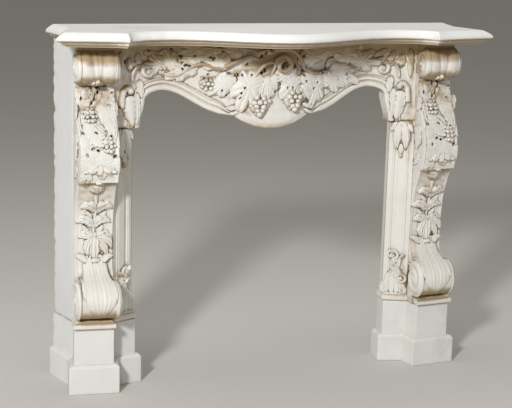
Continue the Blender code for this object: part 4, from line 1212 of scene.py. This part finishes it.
def slip_carving(bm, side):
    """Carve the hanging husk at the top and the curling leaf at the foot of a slip."""
    surface = on_slip(side)
    top = JOINT_HEIGHT - JOINT_GAP
    foot = MOULDING_TOP - 0.004

    def across(share):
        return side * (SLIP_INNER + SLIP_WIDTH * share)

    middle = across(0.50)
    for hand in (-1, 1):
        long_leaf(bm, surface, (middle + hand * 0.002, top - 0.002), 270 + hand * 16, 0.094, 0.030,
                  0.013, 3, -hand * 22, tooth=0.16, sink=0.006)
        long_leaf(bm, surface, (middle + hand * 0.012, top - 0.001), 270 + hand * 34, 0.042, 0.020,
                  0.009, 2, -hand * 20, sink=0.006)
    long_leaf(bm, surface, (middle, top - 0.074), 270, 0.036, 0.020, 0.011, 1, sink=0.006)
    join(bm, bead, surface(middle, top - 0.114, 0.004), 0.0075)
    for share, heading, length, wide, bend in (
            (0.06, 112, 0.050, 0.022, -70), (0.20, 104, 0.090, 0.026, -56),
            (0.40, 96, 0.150, 0.030, -40), (0.58, 86, 0.160, 0.028, 24),
            (0.76, 84, 0.120, 0.026, 44), (0.92, 92, 0.078, 0.022, 60)):
        long_leaf(bm, surface, (across(share), foot), turned(heading, side), length, wide, 0.012,
                  4, bend * side, 80, 0.28, sink=0.007)
    curl(bm, surface, (across(0.34), foot + 0.132), 0.018, 0.0056, 1.2, turned(300, side), side,
         rise=0.006)
    curl(bm, surface, (across(0.76), foot + 0.052), 0.016, 0.0054, 1.2, turned(120, side), -side,
         rise=0.008)
    stem(bm, surface, [(across(share), foot + z) for share, z in
                       ((0.84, 0.012), (0.60, 0.050), (0.46, 0.090), (0.56, 0.128))], 0.0056, 0.007)


def slip_moulding(bm, side):
    """Add the rounded moulding under the slip's leaves."""
    face = slip_face(SLIP_INNER + SLIP_WIDTH) + MOULDING_PROJECTION
    edge = SLIP_EDGE_DEPTH + MOULDING_PROJECTION * 2
    outer = SLIP_INNER + SLIP_WIDTH
    toe = SLIP_INNER - SLIP_TOE * 1.5
    plan = [(side * (toe + SLIP_REVEAL), SLIP_EDGE_DEPTH - SLIP_THICKNESS), (side * toe, edge),
            (side * outer, face), (side * outer, SLIP_JAMB_DEPTH - SLIP_THICKNESS)]
    moulding(bm, plan, (True, True, False, False))


# Plain stones

WALL_MARGIN = 0.0005
WALL_ZONE = 0.020
WEAR = 0.004


def dressed_copy(bm, node_name, edge, spacing, rough_back):
    """Copy a plain solid, soften its edges, cut it into small cells and chip it slightly."""
    bm.from_mesh(frame["nodes"][node_name].data)
    bmesh.ops.remove_doubles(bm, verts=bm.verts, dist=MERGE)
    bmesh.ops.dissolve_limit(bm, angle_limit=math.radians(1), verts=bm.verts, edges=bm.edges)
    low, high = (Vector(corner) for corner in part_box(node_name))
    sharp = [e for e in bm.edges if len(e.link_faces) == 2 and e.calc_face_angle(0) > math.radians(20)
             and max(v.co.y for v in e.verts) < WALL - WALL_MARGIN]
    bmesh.ops.bevel(bm, geom=sharp, offset=edge, offset_type="OFFSET", segments=3, profile=0.5,
                    affect="EDGES", material=-1, clamp_overlap=True)
    for axis in range(3):
        count = max(int((high[axis] - low[axis]) / spacing), 1)
        normal = Vector([float(k == axis) for k in range(3)])
        for k in range(1, count):
            cut = low[axis] + (high[axis] - low[axis]) * k / count
            bmesh.ops.bisect_plane(bm, geom=[*bm.verts, *bm.edges, *bm.faces], plane_no=normal,
                                   plane_co=normal * cut)
    middle = (low + high) / 2
    for vert in bm.verts:
        near = smooth((vert.co.y - (WALL - WALL_ZONE)) / WALL_ZONE)
        wear = max(noise.noise(vert.co * 34) - 0.30, 0) * WEAR
        wear += rough_back * near * max(noise.noise(vert.co * 48) + 0.15, 0)
        pull = Vector((middle.x - vert.co.x, 0, 0))
        if pull.length > 0:
            vert.co += pull.normalized() * min(wear, abs(pull.x))


# Finishes

def shader_group(name, inputs, outputs):
    """Start a shader node group with named sockets."""
    tree = bpy.data.node_groups.new(name, "ShaderNodeTree")
    for label, kind, value in inputs:
        socket = tree.interface.new_socket(name=label, in_out="INPUT", socket_type=kind)
        if value is not None:
            socket.default_value = value
    for label, kind in outputs:
        tree.interface.new_socket(name=label, in_out="OUTPUT", socket_type=kind)
    return tree, tree.nodes.new("NodeGroupInput"), tree.nodes.new("NodeGroupOutput")


def node(tree, kind, sockets=None, **settings):
    """Add a node, set its options and fill or link its inputs."""
    made = tree.nodes.new(kind)
    for key, value in settings.items():
        setattr(made, key, value)
    for key, value in (sockets or {}).items():
        if isinstance(value, bpy.types.NodeSocket):
            tree.links.new(value, made.inputs[key])
        else:
            made.inputs[key].default_value = value
    return made


def ranged(tree, value, low, high, to_low=0.0, to_high=1.0, soft=False):
    """Return a value stretched from one range to another, with soft ends if asked."""
    return node(tree, "ShaderNodeMapRange", {
        "Value": value, "From Min": low, "From Max": high, "To Min": to_low, "To Max": to_high,
    }, interpolation_type="SMOOTHSTEP" if soft else "LINEAR").outputs[0]


def cloud_node(tree, vector, scale, detail, roughness=0.5, distortion=0.0):
    """Return the value of a noise texture."""
    return node(tree, "ShaderNodeTexNoise", {
        "Vector": vector, "Scale": scale, "Detail": detail, "Roughness": roughness,
        "Distortion": distortion}).outputs["Fac"]


def noise_mask(tree, vector, scale, detail, low, high, distortion=0.0):
    """Return a soft mask from noise, 0 below the low value and 1 above the high one."""
    cloud = cloud_node(tree, vector, scale, detail, 0.6, distortion)
    return ranged(tree, cloud, low, high, soft=True)


def math_node(tree, operation, *values, clamp=False):
    """Return the result of a math node."""
    return node(tree, "ShaderNodeMath", dict(enumerate(values)), operation=operation,
                use_clamp=clamp).outputs[0]


def mixed(tree, factor, first, second):
    """Return the mix of two colours."""
    return node(tree, "ShaderNodeMix", {"Factor": factor, 6: first, 7: second},
                data_type="RGBA").outputs[2]


def vein_group():
    """Cloudy veins of marble: thin wandering lines with a soft cloud round them."""
    tree, given, out = shader_group("marble_veins", (
        ("Vector", "NodeSocketVector", None), ("Scale", "NodeSocketFloat", 3.0),
        ("Thickness", "NodeSocketFloat", 0.03)),
        (("Vein", "NodeSocketFloat"), ("Cloud", "NodeSocketFloat")))
    size = node(tree, "ShaderNodeVectorMath", {
        0: given.outputs["Vector"], "Scale": given.outputs["Scale"]}, operation="SCALE").outputs[0]
    line = cloud_node(tree, size, 1.0, 6.0, 0.62, 1.1)
    away = math_node(tree, "ABSOLUTE", math_node(tree, "SUBTRACT", line, 0.5))
    vein = ranged(tree, away, 0.0, given.outputs["Thickness"], 1.0, 0.0, soft=True)
    gate = noise_mask(tree, size, 0.8, 2.0, 0.48, 0.66)
    cloud = noise_mask(tree, size, 0.55, 4.0, 0.38, 0.72, 0.6)
    tree.links.new(math_node(tree, "MULTIPLY", vein, gate), out.inputs["Vein"])
    tree.links.new(cloud, out.inputs["Cloud"])


def patina_and_shade_group():
    """Warm patina and dirt, with painted shade, in the hollows, and painted shade under shelter from
    above, broken up by noise.
    """
    tree, given, out = shader_group("hollow_patina_and_shade", (
        ("Vector", "NodeSocketVector", None), ("Hollow", "NodeSocketFloat", 0.0),
        ("Shelter", "NodeSocketFloat", 0.0), ("Start", "NodeSocketFloat", 0.15),
        ("End", "NodeSocketFloat", 0.8), ("Mottle", "NodeSocketFloat", 60.0)),
        (("Tint", "NodeSocketFloat"), ("Dirt and shade", "NodeSocketFloat"), ("Painted shade", "NodeSocketFloat")))
    cloud = cloud_node(tree, given.outputs["Vector"], given.outputs["Mottle"], 4.0, 0.6)
    shifted = math_node(tree, "MULTIPLY_ADD", cloud, 0.28, -0.14)
    felt = math_node(tree, "ADD", given.outputs["Hollow"], shifted)
    covered = math_node(tree, "ADD", given.outputs["Shelter"],
                        math_node(tree, "MULTIPLY", shifted, 0.5))
    # Tint: warm patina with painted shade in the hollows
    tint = ranged(tree, felt, given.outputs["Start"], given.outputs["End"])
    tree.links.new(tint, out.inputs["Tint"])
    # Dirt with painted shade in the deepest cuts and drilled holes
    tree.links.new(ranged(tree, felt, 0.50, 0.76, soft=True), out.inputs["Dirt and shade"])
    # Painted shade: browns what is sheltered from above, under the shelf and on faces that look down
    tree.links.new(ranged(tree, covered, 0.06, 0.24, soft=True), out.inputs["Painted shade"])


def worn_group():
    """Fine pitting and soft tooling of an old stone face, as a height and a dusty mask."""
    tree, given, out = shader_group("worn_face", (
        ("Vector", "NodeSocketVector", None), ("Grain", "NodeSocketFloat", 900.0),
        ("Pits", "NodeSocketFloat", 140.0)),
        (("Height", "NodeSocketFloat"), ("Dust", "NodeSocketFloat")))
    place = given.outputs["Vector"]
    grain = cloud_node(tree, place, given.outputs["Grain"], 2.0)
    pits = node(tree, "ShaderNodeTexVoronoi", {
        "Vector": place, "Scale": given.outputs["Pits"]}).outputs["Distance"]
    both = math_node(tree, "MULTIPLY_ADD", grain, 0.25, ranged(tree, pits, 0.0, 0.22))
    height = math_node(tree, "ADD", both, cloud_node(tree, place, 34.0, 3.0))
    tree.links.new(height, out.inputs["Height"])
    tree.links.new(noise_mask(tree, place, 7.0, 5.0, 0.45, 0.75), out.inputs["Dust"])


def group_node(tree, name, sockets):
    """Place a node group in a material with its own values and return its outputs."""
    return node(tree, "ShaderNodeGroup", sockets, node_tree=bpy.data.node_groups[name]).outputs


def marble(name, body, tint, dirt_and_shade, vein, roughness, veins, vein_share, tint_share, stain_share,
           thick=0.035, dirt_and_shade_share=0.8, painted_shade_share=0.0, bump=0.12, start=0.10, end=0.75):
    """Build one marble finish from the shared effects."""
    material = bpy.data.materials.new(name)
    material.use_nodes = True
    tree = material.node_tree
    shader = tree.nodes["Principled BSDF"]
    place = tree.nodes.new("ShaderNodeTexCoord").outputs["Object"]
    hollow, shelter = (node(tree, "ShaderNodeAttribute", attribute_name=label).outputs["Fac"]
                       for label in ("hollow", "shelter"))
    cloud = group_node(tree, "marble_veins", {"Vector": place, "Scale": veins, "Thickness": thick})
    patina_and_shade = group_node(tree, "hollow_patina_and_shade", {"Vector": place, "Hollow": hollow, "Shelter": shelter,
                                                "Start": start, "End": end, "Mottle": 55.0})
    worn = group_node(tree, "worn_face", {"Vector": place, "Grain": 900.0, "Pits": 150.0})
    color, warm, brown, grey = ((*c, 1) for c in (body, tint, dirt_and_shade, vein))
    # These masks paint shade into the colour: painted shade under the shelf and on downward faces,
    # patina with painted shade in the hollows, dirt with painted shade in the deepest cuts
    for mask, share, over in (
            (cloud["Cloud"], 0.22, grey), (cloud["Vein"], vein_share, grey),
            (worn["Dust"], stain_share, warm), (patina_and_shade["Painted shade"], painted_shade_share, warm),
            (patina_and_shade["Tint"], tint_share, warm), (patina_and_shade["Dirt and shade"], dirt_and_shade_share, brown)):
        color = mixed(tree, math_node(tree, "MULTIPLY", mask, share), color, over)
    tree.links.new(color, shader.inputs["Base Color"])
    rough = ranged(tree, worn["Dust"], 0.0, 1.0, roughness - 0.06, roughness + 0.10)
    rougher = math_node(tree, "MULTIPLY", patina_and_shade["Tint"], 0.25)
    rough = math_node(tree, "ADD", rough, rougher, clamp=True)
    tree.links.new(rough, shader.inputs["Roughness"])
    bumped = node(tree, "ShaderNodeBump", {"Height": worn["Height"], "Strength": bump,
                                           "Distance": 0.0012})
    tree.links.new(bumped.outputs["Normal"], shader.inputs["Normal"])
    shader.inputs["Subsurface Weight"].default_value = 0.10
    shader.inputs["Subsurface Radius"].default_value = (0.006, 0.005, 0.004)
    shader.inputs["Subsurface Scale"].default_value = 1.0
    shader.inputs["IOR"].default_value = 1.49
    return material


# The second value is the warm colour for patina and painted shade, or the patina colour when None;
# the shelf paints strong shade on its underside moulding
FINISHES = {
    "polished_shelf_marble": ("shelf_white", (0.36, 0.27, 0.16), dict(
        roughness=0.50, veins=2.2, thick=0.05, vein_share=0.45, tint_share=0.70, stain_share=0.08,
        painted_shade_share=0.9, bump=0.05)),
    "carved_ivory_marble": ("carved_white", None, dict(
        roughness=0.56, veins=2.0, vein_share=0.15, tint_share=0.66, stain_share=0.18,
        painted_shade_share=0.96, bump=0.14, start=0.18, end=0.86, dirt_and_shade_share=0.92)),
    "plain_white_marble": ("plain_white", (0.62, 0.58, 0.50), dict(
        roughness=0.52, veins=2.4, thick=0.06, vein_share=0.35, tint_share=0.5, stain_share=0.18)),
    "weathered_plinth_marble": ("plinth_white", (0.60, 0.55, 0.46), dict(
        roughness=0.55, veins=3.0, thick=0.05, vein_share=0.35, tint_share=0.7, stain_share=0.30,
        bump=0.16, start=0.05, end=0.6)),
}


def stone_finish(kind):
    """Return the named finish, built once."""
    ready = bpy.data.materials.get(kind)
    if ready:
        return ready
    hues = bpy.context.scene.mantel_finish
    body, tint, values = FINISHES[kind]
    return marble(kind, getattr(hues, body), tint or hues.patina_and_shade, hues.dirt_and_shade, hues.vein, **values)


def settled(mesh, values, passes=4):
    """Return the values averaged over neighbouring corners; a missing one takes its neighbours'."""
    pairs = [tuple(edge.vertices) for edge in mesh.edges]
    for _ in range(passes):
        total = [value or 0.0 for value in values]
        count = [value is not None for value in values]
        for a, b in pairs:
            if values[b] is not None:
                total[a] += values[b]
                count[a] += 1
            if values[a] is not None:
                total[b] += values[a]
                count[b] += 1
        values = [t / c if c else None for t, c in zip(total, count)]
    return [value or 0.0 for value in values]


# Settings a user may change

def length(name, description, default, low, high):
    """Return a setting in metres."""
    return FloatProperty(name=name, description=description, default=default, min=low, max=high,
                         unit="LENGTH")


def colour(name, description, default):
    """Return a colour setting."""
    return FloatVectorProperty(name=name, description=description, default=default,
                               subtype="COLOR", size=3, min=0, max=1)


class MantelCarving(PropertyGroup):
    """Sizes of the carving."""
    relief: length("Vine relief", "How far the frieze leaves stand out", 0.017, 0.004, 0.03)
    jamb_relief: length("Jamb relief", "How far the jamb leaves stand out", 0.0105, 0.004, 0.02)
    edge: length("Jamb edge", "Rounding of the jambs' front edges", 0.005, 0.001, 0.01)
    block_edge: length("Block edge", "Rounding of the plinths and slabs", 0.0018, 0.0005, 0.005)
    rays: IntProperty(name="Hollow samples", description="Rays used to find the hollows",
                      default=12, min=4, max=32)
    reach: length("Hollow reach", "How far a hollow is felt", 0.030, 0.005, 0.08)
    shelter: length("Shelter reach", "How far the shelf's shelter is felt", 0.130, 0.02, 0.4)


class MantelFinish(PropertyGroup):
    """Colours of the stone, the patina and dirt colours also painting shade."""
    carved_white: colour("Carved white", "Carved stone on its high parts", (0.77, 0.75, 0.70))
    shelf_white: colour("Shelf white", "Polished top", (0.80, 0.80, 0.775))
    plain_white: colour("Plain white", "Side slabs", (0.74, 0.74, 0.735))
    plinth_white: colour("Plinth white", "Plinth blocks", (0.75, 0.75, 0.73))
    # The patina colour also paints shade, in the hollows and under the shelf
    patina_and_shade: colour("Patina and shade", "Warm tone in the hollows", (0.38, 0.275, 0.15))
    # The dirt colour darkens the deepest cuts: dirt with painted shade
    dirt_and_shade: colour("Dirt and shade", "Old dirt in the deepest cuts", (0.10, 0.07, 0.042))
    vein: colour("Vein", "Grey of the veins", (0.56, 0.56, 0.55))


class MantelStage(PropertyGroup):
    """Light and floor."""
    key_power: FloatProperty(name="Key light", description="Power of the main light", default=262.0,
                             min=0, subtype="POWER")
    fill: FloatProperty(name="Sky", description="Strength of the even light all round",
                        default=0.25, min=0)
    floor: colour("Floor", "Colour of the floor", (0.62, 0.60, 0.57))


# Operators

class MANTEL_OT_shelf(Operator):
    """Build the serpentine shelf with its moulded edge"""
    bl_idname = "mantel.shelf"
    bl_label = "Shelf"

    def execute(self, context):
        bm = bmesh.new()
        shelf_body(bm)
        finish_piece("serpentine_shelf", bm, stone_finish("polished_shelf_marble"), "shelf",
                     30)
        return {"FINISHED"}


class MANTEL_OT_frieze(Operator):
    """Build the arched frieze with its vine, bunches and stems"""
    bl_idname = "mantel.frieze"
    bl_label = "Frieze"

    def execute(self, context):
        deep = context.scene.mantel_carving.relief
        bm = bmesh.new()
        join(bm, frieze_ground)
        for side in (-1, 1):
            join(bm, arch_band, side)
            frieze_end(bm, side)
        frieze_vine(bm, deep)
        frieze_leaves(bm, deep)
        drill(bm, on_frieze, FRIEZE_HOLES, 0.020)
        finish_piece("vine_frieze", bm, stone_finish("carved_ivory_marble"), "frieze",
                     45)
        return {"FINISHED"}


class MANTEL_OT_jambs(Operator):
    """Build the two carved console jambs"""
    bl_idname = "mantel.jambs"
    bl_label = "Jambs"

    def execute(self, context):
        sizes = context.scene.mantel_carving
        for side, word in SIDES:
            bm = bmesh.new()
            join(bm, jamb_body, side, sizes.edge)
            jamb_scrolls(bm, side)
            jamb_sides(bm, side)
            jamb_carving(bm, side, sizes.jamb_relief)
            drill(bm, on_jamb(side), JAMB_HOLES, 0.014)
            join(bm, jamb_moulding, side)
            finish_piece(f"console_jamb_{word}", bm, stone_finish("carved_ivory_marble"),
                         f"jamb_{word}", 45)
        return {"FINISHED"}


class MANTEL_OT_slips(Operator):
    """Build the grooved slips beside the opening"""
    bl_idname = "mantel.slips"
    bl_label = "Slips"

    def execute(self, context):
        for side, word in SIDES:
            bm = bmesh.new()
            join(bm, slip_body, side)
            slip_carving(bm, side)
            join(bm, slip_moulding, side)
            finish_piece(f"grooved_slip_{word}", bm, stone_finish("carved_ivory_marble"),
                         f"slip_{word}", 40)
        return {"FINISHED"}


class MANTEL_OT_side_panels(Operator):
    """Build the plain slabs that close the sides"""
    bl_idname = "mantel.side_panels"
    bl_label = "Side panels"

    def execute(self, context):
        edge = context.scene.mantel_carving.block_edge * 0.8
        for _, word in SIDES:
            bm = bmesh.new()
            dressed_copy(bm, f"side_panel_{word}", edge, 0.012, 0.006)
            finish_piece(f"side_slab_{word}", bm, stone_finish("plain_white_marble"),
                         f"side_panel_{word}", 35)
        return {"FINISHED"}


class MANTEL_OT_plinths(Operator):
    """Build the plinth blocks under the jambs and the side panels"""
    bl_idname = "mantel.plinths"
    bl_label = "Plinths"

    def execute(self, context):
        edge = context.scene.mantel_carving.block_edge
        for _, word in SIDES:
            for solid, name in ((f"plinth_{word}", f"front_plinth_{word}"),
                                (f"side_plinth_{word}", f"side_block_{word}")):
                bm = bmesh.new()
                dressed_copy(bm, solid, edge, 0.011, 0.003)
                finish_piece(name, bm, stone_finish("weathered_plinth_marble"), solid,
                             35)
        return {"FINISHED"}


RAY_LIFT = 0.0006
# Faces that look down get painted shade, more the further they turn down
DOWNWARD_PAINTED_SHADE = 0.44
DOWNWARD_START = 0.15
BURIED_SHARE = 0.25


class MANTEL_OT_hollows(Operator):
    """Find the hollows of every stone, where the patina, dirt and painted shade sit, and what is
    sheltered from above, which gets painted shade
    """
    bl_idname = "mantel.hollows"
    bl_label = "Hollows"

    def execute(self, context):
        sizes = context.scene.mantel_carving
        pieces = [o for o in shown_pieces() if o.type == "MESH" and "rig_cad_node" not in o]
        if not pieces:
            raise RuntimeError("build the stones before the hollows")
        verts, faces = [], []
        for piece in pieces:
            start = len(verts)
            verts += [v.co.copy() for v in piece.data.vertices]
            faces += [tuple(start + i for i in f.vertices) for f in piece.data.polygons]
        solid = BVHTree.FromPolygons(verts, faces)
        rays = sizes.rays
        fan = []
        for k in range(rays):
            up = math.sqrt((k + 0.5) / rays)
            angle = k * math.pi * (3 - math.sqrt(5))
            flat = math.sqrt(1 - up * up)
            fan.append(Vector((flat * math.cos(angle), flat * math.sin(angle), up)))
        for piece in pieces:
            hollows, shelters = [], []
            for vert in piece.data.vertices:
                normal = vert.normal
                side = normal.orthogonal().normalized()
                other = normal.cross(side)
                start = vert.co + normal * RAY_LIFT
                near, far, buried = 0.0, 0.0, 0
                for ray in fan:
                    heading = side * ray.x + other * ray.y + normal * ray.z
                    spot, facing, _, away = solid.ray_cast(start, heading, sizes.shelter)
                    if spot is None:
                        continue
                    near += max(1 - away / sizes.reach, 0) ** 0.5
                    if facing.dot(heading) > 0:
                        buried += 1
                    # Hits above, past the hollows, measure the shelf's shelter, which gets painted
                    # shade
                    elif away > sizes.reach / 2 and heading.z > 0:
                        far += 1 - away / sizes.shelter * 0.5
                hollows.append(near / rays)
                # Downward faces get painted shade as well
                below = DOWNWARD_PAINTED_SHADE * max(-normal.z - DOWNWARD_START, 0)
                shelters.append(None if buried > rays * BURIED_SHARE else far / rays + below)
            for label, values in (("hollow", hollows), ("shelter", settled(piece.data, shelters))):
                layer = piece.data.attributes.new(label, "FLOAT", "POINT")
                layer.data.foreach_set("value", values)
        return {"FINISHED"}


FLOOR_REACH = 40
FLOOR_DROP = 0.0005
SKY = (1.0, 0.96, 0.88, 1)

# Name, place, aim, size, share of the main light's power and colour
LAMPS = (
    ("key", (-3.2, -4.2, 3.2), (0, 0, 0.55), 0.65, 1.0, (0.98, 0.99, 1.0)),
    ("side", (-4.2, -0.6, 1.5), (-0.4, 0, 0.5), 1.8, 0.02, (0.96, 0.98, 1.0)),
    ("low", (-1.2, -3.6, 0.35), (0, 0, 0.7), 2.2, 0.025, (1.0, 0.93, 0.80)),
    ("above", (0.2, 0.3, 3.6), (0, 0, 1.1), 2.4, 0.13, (1.0, 1.0, 1.0)),
    ("right", (3.4, -3.0, 1.8), (0.3, 0, 0.5), 2.0, 0.03, (1.0, 0.98, 0.95)),
)


class MANTEL_OT_stage(Operator):
    """Add the pale floor, the soft lights and the camera"""
    bl_idname = "mantel.stage"
    bl_label = "Stage"

    def execute(self, context):
        look = context.scene.mantel_stage
        bm = bmesh.new()
        bmesh.ops.create_grid(bm, x_segments=8, y_segments=8, size=FLOOR_REACH)
        mesh = bpy.data.meshes.new("floor")
        bm.to_mesh(mesh)
        bm.free()
        floor = bpy.data.objects.new("floor", mesh)
        floor.location.z = -FLOOR_DROP
        context.scene.collection.objects.link(floor)
        paint = bpy.data.materials.new("floor_paint")
        paint.use_nodes = True
        tree = paint.node_tree
        shader = tree.nodes["Principled BSDF"]
        place = tree.nodes.new("ShaderNodeTexCoord").outputs["Object"]
        mottle = noise_mask(tree, place, 1.6, 4.0, 0.3, 0.7)
        color = mixed(tree, math_node(tree, "MULTIPLY", mottle, 0.06), (*look.floor, 1),
                      (*(c * 0.8 for c in look.floor), 1))
        tree.links.new(color, shader.inputs["Base Color"])
        shader.inputs["Roughness"].default_value = 0.9
        mesh.materials.append(paint)
        floor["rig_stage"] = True
        world = context.scene.world or bpy.data.worlds.new("sky")
        context.scene.world = world
        world.use_nodes = True
        sky = world.node_tree.nodes["Background"]
        sky.inputs["Color"].default_value = SKY
        sky.inputs["Strength"].default_value = look.fill
        for name, place, aim, size, share, color in LAMPS:
            lamp = bpy.data.lights.new(name, "AREA")
            lamp.shape = "DISK"
            lamp.size = size
            lamp.energy = look.key_power * share
            lamp.color = color
            light = bpy.data.objects.new(name, lamp)
            light.location = place
            light.rotation_euler = (Vector(aim) - Vector(place)).to_track_quat("-Z", "Y").to_euler()
            context.scene.collection.objects.link(light)
        add_camera(context)
        context.scene.view_settings.view_transform = "Standard"
        return {"FINISHED"}


CAMERA_PLACE = (-1.4035, -3.9096, 1.4807)
CAMERA_TURN = (19.055, -12.522, 1.5598)
CAMERA_LENS = 96.48


def add_camera(context):
    """Stand the camera where the photograph was taken from."""
    yaw, pitch, roll = (math.radians(angle) for angle in CAMERA_TURN)
    ahead = Vector((math.sin(yaw) * math.cos(pitch), math.cos(yaw) * math.cos(pitch),
                    math.sin(pitch)))
    right = Vector((math.cos(yaw), -math.sin(yaw), 0))
    up = right.cross(ahead)
    level = right * math.cos(roll) + up * math.sin(roll)
    rise = up * math.cos(roll) - right * math.sin(roll)
    data = bpy.data.cameras.new("camera")
    data.lens = CAMERA_LENS
    data.sensor_width = 36.0
    data.clip_end = 200
    camera = bpy.data.objects.new("camera", data)
    turn = Matrix((level, rise, -ahead)).transposed().to_4x4()
    camera.matrix_world = Matrix.Translation(CAMERA_PLACE) @ turn
    context.scene.collection.objects.link(camera)
    context.scene.camera = camera


STEPS = ("shelf", "frieze", "jambs", "slips", "side_panels", "plinths", "hollows", "stage")


class MANTEL_PT_stones(Panel):
    """The mantel's stones and settings"""
    bl_label = "Marble mantel"
    bl_idname = "MANTEL_PT_stones"
    bl_space_type = "VIEW_3D"
    bl_region_type = "UI"
    bl_category = "Mantel"

    def draw(self, context):
        layout = self.layout
        scene = context.scene
        for step in STEPS:
            layout.operator(f"mantel.{step}")
        for group in (scene.mantel_carving, scene.mantel_finish, scene.mantel_stage):
            for key in group.__annotations__:
                layout.prop(group, key)


CLASSES = (
    MantelCarving, MantelFinish, MantelStage, MANTEL_OT_shelf, MANTEL_OT_frieze, MANTEL_OT_jambs,
    MANTEL_OT_slips, MANTEL_OT_side_panels, MANTEL_OT_plinths, MANTEL_OT_hollows, MANTEL_OT_stage,
    MANTEL_PT_stones,
)


def register():
    for item in CLASSES:
        bpy.utils.register_class(item)
    bpy.types.Scene.mantel_carving = PointerProperty(type=MantelCarving)
    bpy.types.Scene.mantel_finish = PointerProperty(type=MantelFinish)
    bpy.types.Scene.mantel_stage = PointerProperty(type=MantelStage)


def unregister():
    del bpy.types.Scene.mantel_stage
    del bpy.types.Scene.mantel_finish
    del bpy.types.Scene.mantel_carving
    for item in reversed(CLASSES):
        bpy.utils.unregister_class(item)


def main():
    """Build the stones in order."""
    register()
    vein_group()
    patina_and_shade_group()
    worn_group()
    for step in STEPS:
        getattr(bpy.ops.mantel, step)()


if __name__ == "__main__":
    main()
